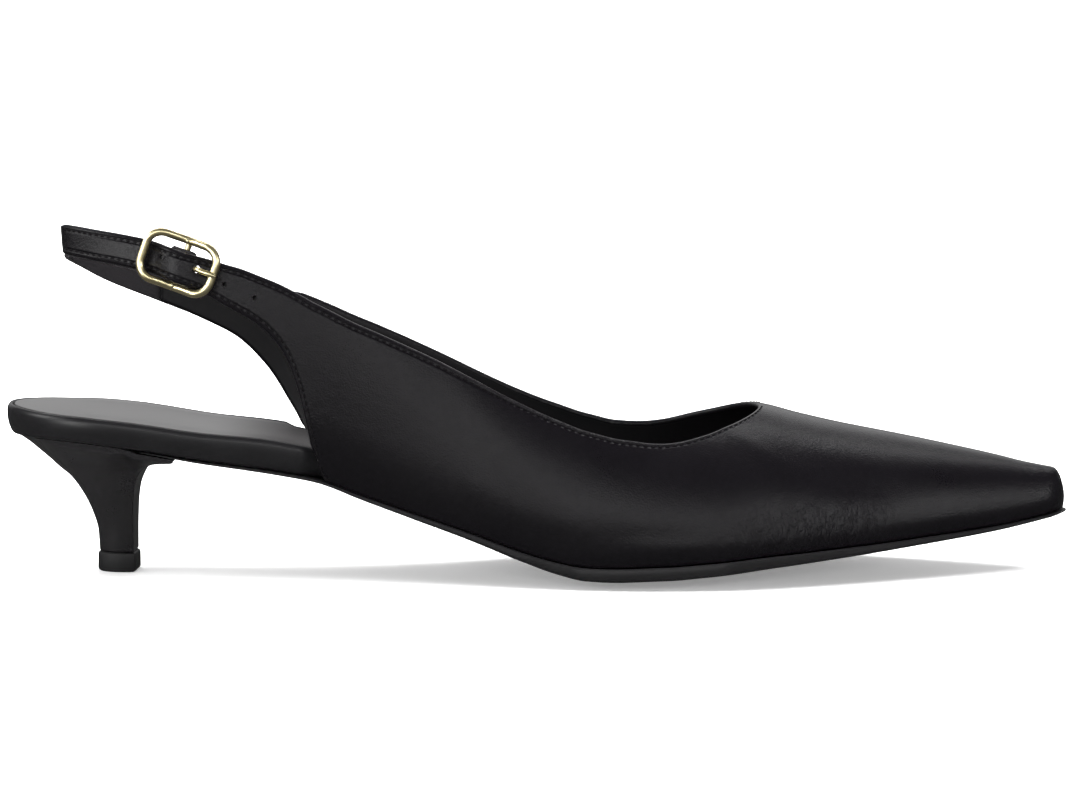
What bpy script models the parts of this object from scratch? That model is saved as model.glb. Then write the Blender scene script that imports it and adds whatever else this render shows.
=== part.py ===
"""Slingback pump with a pointed toe and a kitten heel, for the right foot.

Metres. +X runs from the heel to the toe, -Y is the outer side, +Z is up and the floor is z = 0.
In the tables, lengths along the shoe are shares of SHOE_LENGTH from the back of the seat.
"""
import math
from collections import namedtuple

import bmesh
import bpy
from mathutils import Matrix, Vector

# Last
SHOE_LENGTH = 0.2626
BALL_WIDTH = 0.0728
SEAT_WIDTH = 0.050
HEEL_HEIGHT = 0.0350       # floor to the seat's seam line
TOE_SPRING = 0.0121
TOE_SWING = 0.0030         # how far the toe lies to the inner side of the seat's axis
INSTEP_HEIGHT = 0.0362     # throat above the seam line
CROWN = 0.0032             # how far the seam line rises from the middle to the edge at the ball
SEAT_ROUND = 0.030         # length over which the seat's outline closes
TOE_ROUND = 0.0055
TOE_CAP_ROUND = 0.0031     # length over which the vamp's ridge comes down at the toe
SECTION_POWER = 2.25       # 2 is an ellipse, more is squarer

# Upper
WALL = 0.0017
FEATHER_INSET = 0.0006
TUCK = 0.0015              # how far the wall swells past its seam line at the ball
TOE_TUCK = 0.0004           # how far the toe's front stands back at its seam
TIE_START = 0.052          # ahead of here the quarters leave the strap's loop for the last
TIE_END = 0.082
STRAP_HEIGHT = 0.0523      # top of the strap above the seam line at the back
THROAT_AT = 0.708
THROAT_START = 0.590
THROAT_EASE = 1.75          # how soon the topline turns in, more is later
THROAT_OUTER = 2.25         # fullness of the tip on each side, more is squarer
THROAT_INNER = 1.75

# Strap and buckle
STRAP_WIDTH = 0.0072
STRAP_THICKNESS = 0.0014
STRAP_LEAN = 0.14          # how far the strap's top leans in for each metre of its width
LOOP_BACK = 0.0156         # back of the strap's loop from the back of the seat
LOOP_LENGTH = 0.0595
LOOP_OUTER = 0.0245
LOOP_INNER = 0.0210
LAP_END = 0.0360           # where the inner quarter's tab ends
LAP_LENGTH = 0.0100
LAP_GAP = 0.0005
TAIL_FLARE = 0.0010        # how far the tail's end stands off straight behind the loop
BUCKLE_AT = 0.0455
BUCKLE_LIFT = 0.0003       # bar's middle above the tail's middle line
BUCKLE_LENGTH = 0.0204
BUCKLE_WIDTH = 0.0138
BUCKLE_CORNER = 0.0040
WIRE = 0.0020
BAR = 0.0016
BAR_OUT = 0.0003           # bar's middle outside the strap's middle surface
BUCKLE_BOW = 0.0027
TAIL_RISE = 0.0022         # how far the tail climbs over the bar
TAIL_RISE_LENGTH = 0.0075
FOLD_RETURN = 0.0090
FOLD_FROM = 0.075          # loop angles before the bar where the strap leaves and rejoins its loop
FOLD_BACK = 0.030
PRONG_SLOT = (0.0072, 0.0024)  # length and width of the opening that the prong turns in
PRONG = 0.0013
PRONG_HOLE = 0.0024
PRONG_HOLE_AT = 0.0044     # from the bar

# Bottom
SOLE_THICKNESS = 0.0033
SOLE_EDGE = 0.0003         # how far the sole stands past the last's outline
SOLE_ROUND = 0.0006        # how far the outsole's lower edge is rounded in
SOLE_START = 0.0350        # back tip of the outsole's taper
RAND_HEIGHT = 0.0068
RAND_LEAN = 0.0014
RAND_ROUND = 0.0011
RIM = 1.15                 # height of the rim round the sock, as a share of the bed's height
SOCK_THICKNESS = 0.0007
SOCK_INSET = 0.0018
SOCK_LENGTH = 0.205
DISH = 0.0012              # how far the middle of the seat lies below its edge
FOOT_STEP = 0.0015         # room between the insole and the quarters' inside
FOOT_FROM = 0.0068         # the insole steps in over this stretch behind the quarter's foot
FOOT_TO = 0.0042

# Heel
TOP_PIECE_LENGTH = 0.0099
TOP_PIECE_WIDTH = 0.0098
TOP_PIECE_HEIGHT = 0.0049
TOP_PIECE_BACK = 0.0220
TOP_PIECE_LIP = 0.0004
HEEL_INSET = 0.0026
HEEL_LIP_AT = 0.0430
HEEL_LIP = 0.0009
HEEL_TURN = math.radians(-4)
BREAST_SHARE = 0.90

GAP = 0.0003

OutlineRow = namedtuple("OutlineRow", "at outer inner outer_tuck inner_tuck tuck_height")
# Half widths are shares of the local width, SEAT_WIDTH behind and BALL_WIDTH ahead,
# and tucks are shares of TUCK. The tuck's height is in shares of INSTEP_HEIGHT.
OUTLINE = (
    OutlineRow(0.000, 0.500, 0.500, 0.7, 0.7, 0.30),
    OutlineRow(0.060, 0.500, 0.492, 0.7, 0.7, 0.30),
    OutlineRow(0.115, 0.500, 0.478, 0.8, 1.0, 0.35),
    OutlineRow(0.200, 0.494, 0.424, 1.2, 2.2, 0.40),
    OutlineRow(0.267, 0.476, 0.362, 1.6, 3.2, 0.44),
    OutlineRow(0.324, 0.458, 0.328, 1.8, 3.4, 0.44),
    OutlineRow(0.382, 0.451, 0.320, 1.8, 3.2, 0.42),
    OutlineRow(0.439, 0.461, 0.338, 1.7, 2.6, 0.38),
    OutlineRow(0.496, 0.476, 0.372, 1.5, 2.0, 0.32),
    OutlineRow(0.553, 0.492, 0.416, 1.3, 1.5, 0.24),
    OutlineRow(0.611, 0.503, 0.456, 1.0, 1.1, 0.17),
    OutlineRow(0.668, 0.500, 0.480, 0.9, 0.9, 0.13),
    OutlineRow(0.725, 0.461, 0.471, 0.8, 0.8, 0.12),
    OutlineRow(0.782, 0.393, 0.417, 0.8, 0.8, 0.12),
    OutlineRow(0.840, 0.310, 0.338, 0.8, 0.8, 0.12),
    OutlineRow(0.897, 0.223, 0.248, 0.8, 0.8, 0.12),
    OutlineRow(0.935, 0.165, 0.184, 0.7, 0.7, 0.12),
    OutlineRow(0.962, 0.123, 0.138, 0.7, 0.7, 0.12),
    OutlineRow(1.000, 0.070, 0.078, 0.6, 0.6, 0.12),
)

ProfileRow = namedtuple("ProfileRow", "at lift spring crown sole bed")
# Lift is a share of HEEL_HEIGHT less the sole, spring of TOE_SPRING, crown of CROWN,
# sole of SOLE_THICKNESS and bed, the insole's height at its edge, of RAND_HEIGHT.
PROFILE = (
    ProfileRow(0.000, 1.000, 0.00, 0.00, 0.10, 0.94),
    ProfileRow(0.025, 0.998, 0.00, 0.00, 0.10, 0.86),
    ProfileRow(0.061, 0.990, 0.00, 0.00, 0.12, 0.80),
    ProfileRow(0.115, 0.946, 0.00, 0.00, 0.14, 0.83),
    ProfileRow(0.187, 0.852, 0.00, 0.00, 0.30, 0.87),
    ProfileRow(0.256, 0.775, 0.00, 0.00, 0.36, 0.95),
    ProfileRow(0.296, 0.712, 0.00, 0.02, 0.34, 0.92),
    ProfileRow(0.336, 0.592, 0.00, 0.06, 0.42, 0.76),
    ProfileRow(0.385, 0.448, 0.00, 0.15, 0.52, 0.58),
    ProfileRow(0.435, 0.300, 0.00, 0.30, 0.62, 0.48),
    ProfileRow(0.485, 0.146, 0.00, 0.42, 0.76, 0.42),
    ProfileRow(0.515, 0.068, 0.00, 0.52, 0.92, 0.40),
    ProfileRow(0.545, 0.015, 0.00, 0.64, 1.05, 0.40),
    ProfileRow(0.580, 0.000, 0.00, 0.78, 1.08, 0.40),
    ProfileRow(0.620, 0.000, 0.00, 0.93, 1.08, 0.40),
    ProfileRow(0.655, 0.000, 0.04, 1.00, 1.05, 0.40),
    ProfileRow(0.700, 0.000, 0.15, 0.94, 0.98, 0.40),
    ProfileRow(0.745, 0.000, 0.29, 0.68, 0.88, 0.40),
    ProfileRow(0.840, 0.000, 0.53, 0.30, 0.66, 0.40),
    ProfileRow(0.935, 0.000, 0.76, 0.10, 0.46, 0.40),
    ProfileRow(1.000, 0.000, 1.00, 0.00, 0.32, 0.40),
)

RidgeRow = namedtuple("RidgeRow", "at height")
# Ridge of the last above the seam line, in shares of INSTEP_HEIGHT. Behind the throat no wall
# reaches it, and it only sets how steep the walls stand.
RIDGE = (
    RidgeRow(0.000, 2.75),
    RidgeRow(0.190, 2.70),
    RidgeRow(0.271, 2.58),
    RidgeRow(0.317, 2.33),
    RidgeRow(0.359, 2.00),
    RidgeRow(0.405, 1.74),
    RidgeRow(0.450, 1.54),
    RidgeRow(0.496, 1.39),
    RidgeRow(0.553, 1.27),
    RidgeRow(0.611, 1.14),
    RidgeRow(0.660, 1.065),
    RidgeRow(0.708, 1.000),
    RidgeRow(0.745, 0.895),
    RidgeRow(0.782, 0.800),
    RidgeRow(0.840, 0.670),
    RidgeRow(0.897, 0.540),
    RidgeRow(0.935, 0.445),
    RidgeRow(0.962, 0.365),
    RidgeRow(1.000, 0.262),
)

EdgeRow = namedtuple("EdgeRow", "top_at top low_at low")
PlacedRow = namedtuple("PlacedRow", "place top_at top low_at low")
# Upper and lower edge of each quarter, from its back end to where the throat starts.
# Heights are above the seam line, in shares of STRAP_HEIGHT.
OUTER_EDGE = (
    EdgeRow(0.0630, 0.995, 0.0690, 0.860),
    EdgeRow(0.0780, 0.996, 0.0825, 0.855),
    EdgeRow(0.0947, 0.994, 0.0980, 0.850),
    EdgeRow(0.1150, 0.992, 0.1150, 0.846),
    EdgeRow(0.1412, 0.987, 0.1412, 0.838),
    EdgeRow(0.1680, 0.971, 0.1680, 0.822),
    EdgeRow(0.1947, 0.951, 0.1947, 0.790),
    EdgeRow(0.2130, 0.935, 0.2110, 0.755),
    EdgeRow(0.2290, 0.922, 0.2267, 0.720),
    EdgeRow(0.2450, 0.901, 0.2405, 0.688),
    EdgeRow(0.2615, 0.879, 0.2542, 0.642),
    EdgeRow(0.2748, 0.856, 0.2653, 0.585),
    EdgeRow(0.2880, 0.831, 0.2725, 0.525),
    EdgeRow(0.3015, 0.813, 0.2798, 0.432),
    EdgeRow(0.3206, 0.798, 0.2890, 0.270),
    EdgeRow(0.3360, 0.791, 0.2950, 0.130),
    EdgeRow(0.3480, 0.787, 0.3000, 0.040),
    EdgeRow(0.3600, 0.782, 0.3080, 0.000),
    EdgeRow(0.4008, 0.763, 0.3560, 0.000),
    EdgeRow(0.4390, 0.735, 0.4080, 0.000),
    EdgeRow(0.4810, 0.706, 0.4660, 0.000),
    EdgeRow(0.5190, 0.680, 0.5140, 0.000),
    EdgeRow(0.5515, 0.652, 0.5515, 0.000),
    EdgeRow(0.5720, 0.632, 0.5720, 0.000),
    EdgeRow(0.5900, 0.620, 0.5900, 0.000),
)
INNER_EDGE = (
    EdgeRow(0.1374, 0.770, 0.1374, 0.642),
    EdgeRow(0.1565, 0.756, 0.1565, 0.620),
    EdgeRow(0.1756, 0.748, 0.1737, 0.594),
    EdgeRow(0.1985, 0.757, 0.1910, 0.564),
    EdgeRow(0.2137, 0.765, 0.2030, 0.540),
    EdgeRow(0.2290, 0.770, 0.2145, 0.508),
    EdgeRow(0.2440, 0.771, 0.2240, 0.470),
    EdgeRow(0.2600, 0.775, 0.2336, 0.424),
    EdgeRow(0.2720, 0.775, 0.2431, 0.372),
    EdgeRow(0.2850, 0.765, 0.2523, 0.308),
    EdgeRow(0.2980, 0.754, 0.2618, 0.232),
    EdgeRow(0.3130, 0.745, 0.2720, 0.150),
    EdgeRow(0.3260, 0.742, 0.2790, 0.070),
    EdgeRow(0.3400, 0.740, 0.2860, 0.000),
    EdgeRow(0.3680, 0.731, 0.3220, 0.000),
    EdgeRow(0.4060, 0.712, 0.3680, 0.000),
    EdgeRow(0.4447, 0.688, 0.4180, 0.000),
    EdgeRow(0.4830, 0.671, 0.4690, 0.000),
    EdgeRow(0.5220, 0.655, 0.5170, 0.000),
    EdgeRow(0.5515, 0.631, 0.5515, 0.000),
    EdgeRow(0.5720, 0.610, 0.5720, 0.000),
    EdgeRow(0.5900, 0.603, 0.5900, 0.000),
)

StrapRow = namedtuple("StrapRow", "round low")
# Lower edge of the heel strap: round runs from -1 at the inner lap over 0 at the back
# to 1 at the buckle's bar, and heights are in shares of STRAP_HEIGHT.
STRAP_EDGE = (
    StrapRow(-1.00, 0.590),
    StrapRow(-0.75, 0.651),
    StrapRow(-0.50, 0.713),
    StrapRow(-0.25, 0.779),
    StrapRow(0.00, 0.818),
    StrapRow(0.25, 0.838),
    StrapRow(0.50, 0.838),
    StrapRow(0.75, 0.826),
    StrapRow(1.00, 0.806),
)

HeelRow = namedtuple("HeelRow", "back_down back_in front_down front_in narrow")
# Sections from the seat, 0, to the top piece, 1. Each column is a share of the whole way.
HEEL = (
    HeelRow(0.000, 0.000, 0.000, 0.000, 0.000),
    HeelRow(0.070, 0.150, 0.020, 0.110, 0.080),
    HeelRow(0.135, 0.262, 0.050, 0.290, 0.210),
    HeelRow(0.210, 0.390, 0.085, 0.480, 0.360),
    HeelRow(0.285, 0.508, 0.130, 0.630, 0.505),
    HeelRow(0.366, 0.648, 0.205, 0.780, 0.680),
    HeelRow(0.460, 0.755, 0.305, 0.890, 0.805),
    HeelRow(0.545, 0.832, 0.410, 0.955, 0.880),
    HeelRow(0.660, 0.912, 0.575, 0.990, 0.940),
    HeelRow(0.830, 0.985, 0.800, 1.000, 0.980),
    HeelRow(1.000, 1.000, 1.000, 1.000, 1.000),
)


def smooth(value, low, high):
    t = min(1.0, max(0.0, (value - low) / (high - low)))
    return t * t * (3 - 2 * t)


def between(rows, key, column, value):
    """Value of a column where its key column is value, on a curve without overshoot."""
    xs = [getattr(row, key) for row in rows]
    ys = [getattr(row, column) for row in rows]
    value = min(max(value, xs[0]), xs[-1])
    steps = [b - a for a, b in zip(xs, xs[1:])]
    slopes = [(b - a) / step for a, b, step in zip(ys, ys[1:], steps)]
    tangents = [slopes[0]]
    for left, right in zip(slopes, slopes[1:]):
        same_way = left * right > 0
        tangents.append(2 * left * right / (left + right) if same_way else 0.0)
    tangents.append(slopes[-1])
    i = max(k for k in range(len(steps)) if xs[k] <= value)
    t = (value - xs[i]) / steps[i]
    rise = steps[i] * ((t ** 3 - 2 * t * t + t) * tangents[i] + (t ** 3 - t * t) * tangents[i + 1])
    return ys[i] + (ys[i + 1] - ys[i]) * t * t * (3 - 2 * t) + rise


def round_end(distance, length):
    """Share of full width at a distance from a rounded end."""
    t = min(1.0, max(0.0, distance / length))
    return math.sqrt(max(0.0, 1 - (1 - t) ** 2))


def centre(s):
    t = max(0.0, s / SHOE_LENGTH - 0.55) / 0.45
    return TOE_SWING * t * t


def half_width(side, s):
    """Half width of the last's outline; side is -1 for the outer and 1 for the inner side."""
    at = s / SHOE_LENGTH
    local = SEAT_WIDTH + (BALL_WIDTH - SEAT_WIDTH) * smooth(at, 0.2, 0.6)
    share = between(OUTLINE, "at", "inner" if side > 0 else "outer", at)
    ends = round_end(s, SEAT_ROUND) * round_end(SHOE_LENGTH - s, TOE_ROUND)
    return local * share * ends


def seam(s):
    """Height of the seam line, where sole and upper meet, in the middle of the shoe."""
    at = s / SHOE_LENGTH
    lift = between(PROFILE, "at", "lift", at) * (HEEL_HEIGHT - SOLE_THICKNESS)
    return SOLE_THICKNESS + lift + between(PROFILE, "at", "spring", at) * TOE_SPRING


def crown(s):
    return CROWN * between(PROFILE, "at", "crown", s / SHOE_LENGTH)


def across(s, y):
    """How far a point lies from the middle towards the outline, 0 to 1."""
    side = 1 if y > centre(s) else -1
    reach = max(half_width(side, s), 0.0015)
    return min(1.0, abs(y - centre(s)) / reach)


def seam_at(s, y):
    return seam(s) + crown(s) * across(s, y) ** 2


def sole_depth(s):
    return SOLE_THICKNESS * between(PROFILE, "at", "sole", s / SHOE_LENGTH)


def bed_height(s):
    return RAND_HEIGHT * between(PROFILE, "at", "bed", s / SHOE_LENGTH)


def ridge_height(s):
    """Height of the last's ridge above the seam line at the edge."""
    height = INSTEP_HEIGHT * between(RIDGE, "at", "height", s / SHOE_LENGTH)
    height *= round_end(SHOE_LENGTH - s, TOE_CAP_ROUND)
    return height - crown(s) * round_end(SHOE_LENGTH - s, TOE_CAP_ROUND)


def wall_y(side, s, share):
    """Distance of the upper's outside from the middle, at a share of the ridge's height."""
    at = s / SHOE_LENGTH
    tuck = TUCK * between(OUTLINE, "at", "inner_tuck" if side > 0 else "outer_tuck", at)
    tuck *= round_end(SHOE_LENGTH - s, TOE_ROUND)
    height = INSTEP_HEIGHT * between(OUTLINE, "at", "tuck_height", at)
    rise = min(1.0, share * ridge_height(s) / height)
    width = max(0.0, half_width(side, s) - FEATHER_INSET)
    body = max(0.0, 1 - share ** SECTION_POWER) ** (1 / SECTION_POWER)
    return (width + tuck) * body - tuck * (1 - rise) ** 2 * body


def loop_point(side, s, offset):
    """Plan of the heel strap's middle surface: distance from the axis, moved out by offset."""
    reach = LOOP_OUTER if side < 0 else LOOP_INNER
    t = min(1.0, max(0.0, (s - LOOP_BACK) / LOOP_LENGTH))
    angle = math.acos(1 - t)
    along = LOOP_LENGTH * math.sin(angle)
    over = reach * math.cos(angle)
    size = math.hypot(along, over)
    x = LOOP_BACK + LOOP_LENGTH * (1 - math.cos(angle)) - offset * over / size
    return x, side * (reach * math.sin(angle) + offset * along / size)


def tail_rise(s):
    t = min(1.0, abs(s - BUCKLE_AT) / TAIL_RISE_LENGTH)
    return TAIL_RISE * (0.5 + 0.5 * math.cos(math.pi * t))


def loop_turns():
    """Loop angles of the strap's lap end and of the buckle's bar."""
    lap = math.acos(1 - (LAP_END + LAP_LENGTH - LOOP_BACK) / LOOP_LENGTH)
    bar = math.acos(1 - (BUCKLE_AT - LOOP_BACK) / LOOP_LENGTH)
    return lap, bar


def strap_low(turn):
    """Height of the strap's lower edge at a loop angle, inner side negative."""
    lap, bar = loop_turns()
    low = between(STRAP_EDGE, "round", "low", turn / (bar if turn > 0 else lap))
    return seam(LOOP_BACK + LOOP_LENGTH * (1 - math.cos(turn))) + low * STRAP_HEIGHT


def upper_point(side, s, share):
    """A point of the upper's outside, by its share of the ridge's height."""
    ridge = ridge_height(s)
    z = seam(s) + crown(s) + ridge * share
    forward = smooth(s, SHOE_LENGTH - 2 * TOE_ROUND, SHOE_LENGTH)
    swell = min(1.0, share * ridge / (0.12 * INSTEP_HEIGHT))
    x = s - TOE_TUCK * forward * (1 - swell) ** 2
    wall = centre(s) + side * wall_y(side, s, share)
    lap = STRAP_THICKNESS / 2 + LAP_GAP
    offset = lap + WALL + tail_rise(s) if side < 0 else -lap
    turn = -side * math.acos(1 - min(1.0, max(0.0, (s - LOOP_BACK) / LOOP_LENGTH)))
    offset -= STRAP_LEAN * (z - strap_low(turn) - STRAP_WIDTH / 2)
    loop_x, loop_y = loop_point(side, s, offset)
    if side < 0:
        loop_x -= TAIL_FLARE * (1 - smooth(s, LOOP_BACK, LOOP_BACK + 0.022))
    blend = smooth(s, TIE_START, TIE_END)
    return Vector((loop_x + (x - loop_x) * blend, loop_y + (wall - loop_y) * blend, z))


def share_at(side, s, reach):
    """Share of the ridge's height where the wall stands at a given distance from the middle."""
    low, high = 0.2, 1.0
    for _ in range(24):
        share = (low + high) / 2
        if wall_y(side, s, share) > reach:
            low = share
        else:
            high = share
    return share


def throat_share(side, s):
    """Topline between the throat's start and its tip, rounded in plan."""
    edge = OUTER_EDGE if side < 0 else INNER_EDGE
    start = THROAT_START * SHOE_LENGTH
    full = THROAT_OUTER if side < 0 else THROAT_INNER
    first = (edge[-1].top * STRAP_HEIGHT - crown(start)) / ridge_height(start)
    t = (s - start) / ((THROAT_AT - THROAT_START) * SHOE_LENGTH)
    reach = wall_y(side, start, first) * max(0.0, 1 - t ** THROAT_EASE) ** (1 / full)
    return share_at(side, s, reach)


def spaced_angle(share):
    """Angle that a share of the ridge's height stands for, so that points keep even distances."""
    return math.asin(min(1.0, share) ** (SECTION_POWER / 2))


def upper_row(side, top_at, top_share, low_at, low_share, count):
    low_turn = spaced_angle(low_share)
    top_turn = spaced_angle(top_share)
    row = []
    for j in range(count + 1):
        t = j / count
        turn = low_turn + (top_turn - low_turn) * t
        share = math.sin(turn) ** (2 / SECTION_POWER)
        row.append(upper_point(side, low_at + (top_at - low_at) * t, share))
    return row


def quarter_rows(side, count):
    edge = OUTER_EDGE if side < 0 else INNER_EDGE
    rows = []
    steps = 2
    placed = [PlacedRow(k, *row) for k, row in enumerate(edge)]
    for k in range(steps * (len(edge) - 1)):
        place = k / steps
        top_at = between(placed, "place", "top_at", place) * SHOE_LENGTH
        low_at = between(placed, "place", "low_at", place) * SHOE_LENGTH
        top = between(placed, "place", "top", place) * STRAP_HEIGHT
        low = between(placed, "place", "low", place) * STRAP_HEIGHT
        top_share = (top - crown(top_at)) / ridge_height(top_at)
        low_share = max(0.0, low - crown(low_at) * min(1.0, low / TUCK)) / ridge_height(low_at)
        rows.append(upper_row(side, top_at, top_share, low_at, low_share, count))
    return rows


def vamp_stations():
    start = THROAT_START * SHOE_LENGTH
    throat = THROAT_AT * SHOE_LENGTH
    for k in range(12):
        yield start + (throat - start) * math.sin(math.pi / 2 * k / 12)
    turn = 0.93 * SHOE_LENGTH
    for k in range(11):
        yield throat + (turn - throat) * k / 11
    for k in range(9):
        yield turn + (SHOE_LENGTH - turn) * math.sin(math.pi / 2 * k / 8)


def vamp_rows(side, count):
    throat = THROAT_AT * SHOE_LENGTH
    rows = []
    for s in vamp_stations():
        top = throat_share(side, s) if s < throat else 1.0
        rows.append(upper_row(side, s, top, s, 0.0, count))
    return rows


def add_grid(mesh, rows, flip):
    """Faces between rows of points."""
    grid = [[mesh.verts.new(point) for point in row] for row in rows]
    for a, b in zip(grid, grid[1:]):
        for j in range(len(a) - 1):
            corners = (a[j], b[j], b[j + 1], a[j + 1])
            mesh.faces.new(corners[::-1] if flip else corners)
    return grid


def finish_mesh(name, mesh, material, merge=0.00001):
    bmesh.ops.remove_doubles(mesh, verts=mesh.verts, dist=merge)
    bmesh.ops.dissolve_degenerate(mesh, edges=mesh.edges, dist=merge)
    data = bpy.data.meshes.new(name)
    mesh.to_mesh(data)
    mesh.free()
    data.shade_smooth()
    data.set_sharp_from_angle(angle=math.radians(40))
    data.materials.append(material)
    part = bpy.data.objects.new(name, data)
    bpy.context.collection.objects.link(part)
    return part


def make_material(name, colour, roughness, metallic=0.0):
    material = bpy.data.materials.new(name)
    material.use_nodes = True
    shader = material.node_tree.nodes["Principled BSDF"]
    shader.inputs["Base Color"].default_value = (*colour, 1.0)
    shader.inputs["Roughness"].default_value = roughness
    shader.inputs["Metallic"].default_value = metallic
    material.diffuse_color = (*colour, 1.0)
    return material


def cut(part, cutter):
    cutter.hide_render = True
    cutter.display_type = "WIRE"
    modifier = part.modifiers.new("cut " + cutter.name, "BOOLEAN")
    modifier.operation = "DIFFERENCE"
    modifier.object = cutter


def build_upper(material):
    """Both halves of the wall, joined along the vamp's ridge, thickened inwards."""
    mesh = bmesh.new()
    for side in (-1, 1):
        rows = quarter_rows(side, 8) + vamp_rows(side, 8)
        add_grid(mesh, rows, side > 0)
    bmesh.ops.remove_doubles(mesh, verts=mesh.verts, dist=0.00002)
    part = finish_mesh("upper", mesh, material, 0.00002)
    wall = part.modifiers.new("wall", "SOLIDIFY")
    wall.thickness = WALL
    wall.offset = -1.0
    wall.use_even_offset = False
    wall.use_rim = True
    middle, out, along, _ = buckle_frame_axes()
    place = middle + along * PRONG_HOLE_AT
    hole = add_cylinder("prong_hole", PRONG_HOLE / 2, 8 * WALL, place, out, material)
    cut(part, hole)
    return part


def add_cylinder(name, radius, length, place, axis, material):
    mesh = bmesh.new()
    bmesh.ops.create_cone(mesh, segments=16, radius1=radius, radius2=radius, depth=length,
                          cap_ends=True)
    turn = Vector((0, 0, 1)).rotation_difference(axis).to_matrix().to_4x4()
    bmesh.ops.transform(mesh, matrix=Matrix.Translation(place) @ turn, verts=mesh.verts)
    return finish_mesh(name, mesh, material)


def edge_stations(start, end, middle_count, start_round, end_round):
    """Places along an outline, closer together on its rounded ends."""
    quarter = 7
    for k in range(quarter):
        yield start + start_round * (1 - math.cos(math.pi / 2 * k / quarter))
    for k in range(middle_count):
        t = k / middle_count
        yield start + start_round + (end - end_round - start - start_round) * t
    for k in range(quarter + 1):
        yield end - end_round + end_round * math.sin(math.pi / 2 * k / quarter)


def outline_points(side, stations):
    """Outline points with their outward normals in plan."""
    points = [Vector((s, centre(s) + side * half_width(side, s))) for s in stations]
    normals = []
    for k, point in enumerate(points):
        before = points[max(0, k - 1)]
        after = points[min(len(points) - 1, k + 1)]
        way = after - before
        normals.append(Vector((-way.y, way.x)).normalized() * side)
    if half_width(side, stations[0]) < 0.0001:
        normals[0] = Vector((-1, 0))
    if half_width(side, stations[-1]) < 0.0001:
        normals[-1] = Vector((1, 0))
    return points, normals


def slab(name, stations, top, bottom, edge, material, inset=None, steps=8):
    """A closed plate on the last's outline. Edge rows are (inset, share of height)."""
    extra = inset or (lambda side, s: 0.0)
    sides = {}
    for side in (-1, 1):
        points, normals = outline_points(side, stations)
        sides[side] = [
            [point - normal * (step + extra(side, s)) for step, _ in edge]
            for point, normal, s in zip(points, normals, stations)
        ]
    mesh = bmesh.new()
    rings = []
    for outer, inner in zip(sides[-1], sides[1]):
        ring = []
        for share in range(steps):
            flat = inner[0].lerp(outer[0], share / steps)
            ring.append(Vector((flat.x, flat.y, bottom(flat.x, flat.y))))
        for flat, (_, height) in zip(outer, edge):
            low, high = bottom(flat.x, flat.y), top(flat.x, flat.y)
            ring.append(Vector((flat.x, flat.y, low + (high - low) * height)))
        for share in range(1, steps):
            flat = outer[-1].lerp(inner[-1], share / steps)
            ring.append(Vector((flat.x, flat.y, top(flat.x, flat.y))))
        for flat, (_, height) in zip(reversed(inner), reversed(edge)):
            low, high = bottom(flat.x, flat.y), top(flat.x, flat.y)
            ring.append(Vector((flat.x, flat.y, low + (high - low) * height)))
        rings.append([mesh.verts.new(point) for point in ring[:-1]])
    for a, b in zip(rings, rings[1:]):
        for j in range(len(a)):
            k = (j + 1) % len(a)
            mesh.faces.new((a[j], b[j], b[k], a[k]))
    for ring, s in ((rings[0], stations[0]), (rings[-1], stations[-1])):
        if half_width(1, s) > 0.0001:
            close_end(mesh, ring, steps + len(edge) - 1)
    bmesh.ops.remove_doubles(mesh, verts=mesh.verts, dist=0.00001)
    bmesh.ops.recalc_face_normals(mesh, faces=mesh.faces)
    return finish_mesh(name, mesh, material)


def close_end(mesh, ring, half):
    """Strip of faces between the lower and upper halves of an end ring."""
    size = len(ring)
    for j in range(half):
        corners = (ring[j], ring[j + 1], ring[(size - j - 1) % size], ring[(size - j) % size])
        mesh.faces.new(list(dict.fromkeys(corners)))


def build_outsole(material):
    start = SOLE_START
    stations = [start + k * 0.006 for k in range(9)]
    forward = stations[-1] + 0.006
    middle = 22
    for k in range(middle):
        stations.append(forward + (SHOE_LENGTH - TOE_ROUND - forward) * k / middle)
    for k in range(8):
        stations.append(SHOE_LENGTH - TOE_ROUND + TOE_ROUND * math.sin(math.pi / 2 * k / 7))
    sole_top = lambda s, y: seam_at(s, y) - GAP
    sole_low = lambda s, y: max(0.0, seam_at(s, y) - sole_depth(s))
    edge = ((SOLE_ROUND - SOLE_EDGE, 0.0), (-SOLE_EDGE, 0.35), (-SOLE_EDGE, 1.0))
    lean = lambda side, s: RAND_LEAN * (1 - smooth(s, TIE_START, TIE_END))
    return slab("outsole", stations, sole_top, sole_low, edge, material, lean)


def insole_inset(side, s):
    """The insole stands out in the open seat and steps in under the quarters."""
    edge = OUTER_EDGE if side < 0 else INNER_EDGE
    foot = min(row.low_at for row in edge if row.low == 0.0) * SHOE_LENGTH
    return (WALL + FOOT_STEP) * smooth(s, foot - FOOT_FROM, foot - FOOT_TO)


def insole_top(s, y):
    dish = DISH * smooth(s, 0.0, SEAT_ROUND)
    return seam_at(s, y) + bed_height(s) - dish * (1 - across(s, y) ** 2)


def insole_stations():
    stations = list(edge_stations(0.0, SHOE_LENGTH, 22, SEAT_ROUND, TOE_ROUND))
    for edge in (OUTER_EDGE, INNER_EDGE):
        foot = min(row.low_at for row in edge if row.low == 0.0) * SHOE_LENGTH
        stations += [foot - FOOT_FROM, foot - FOOT_TO]
    return sorted(stations)


def build_insole(material):
    side = ((RAND_LEAN, 0.0), (0.0004, 0.30), (0.0, 0.70), (0.0002, 1.0))
    rim = ((RAND_ROUND, RIM), (SOCK_INSET - GAP, 1.0))
    edge = side + rim
    return slab("insole", insole_stations(), insole_top, seam_at, edge, material, insole_inset)


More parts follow.
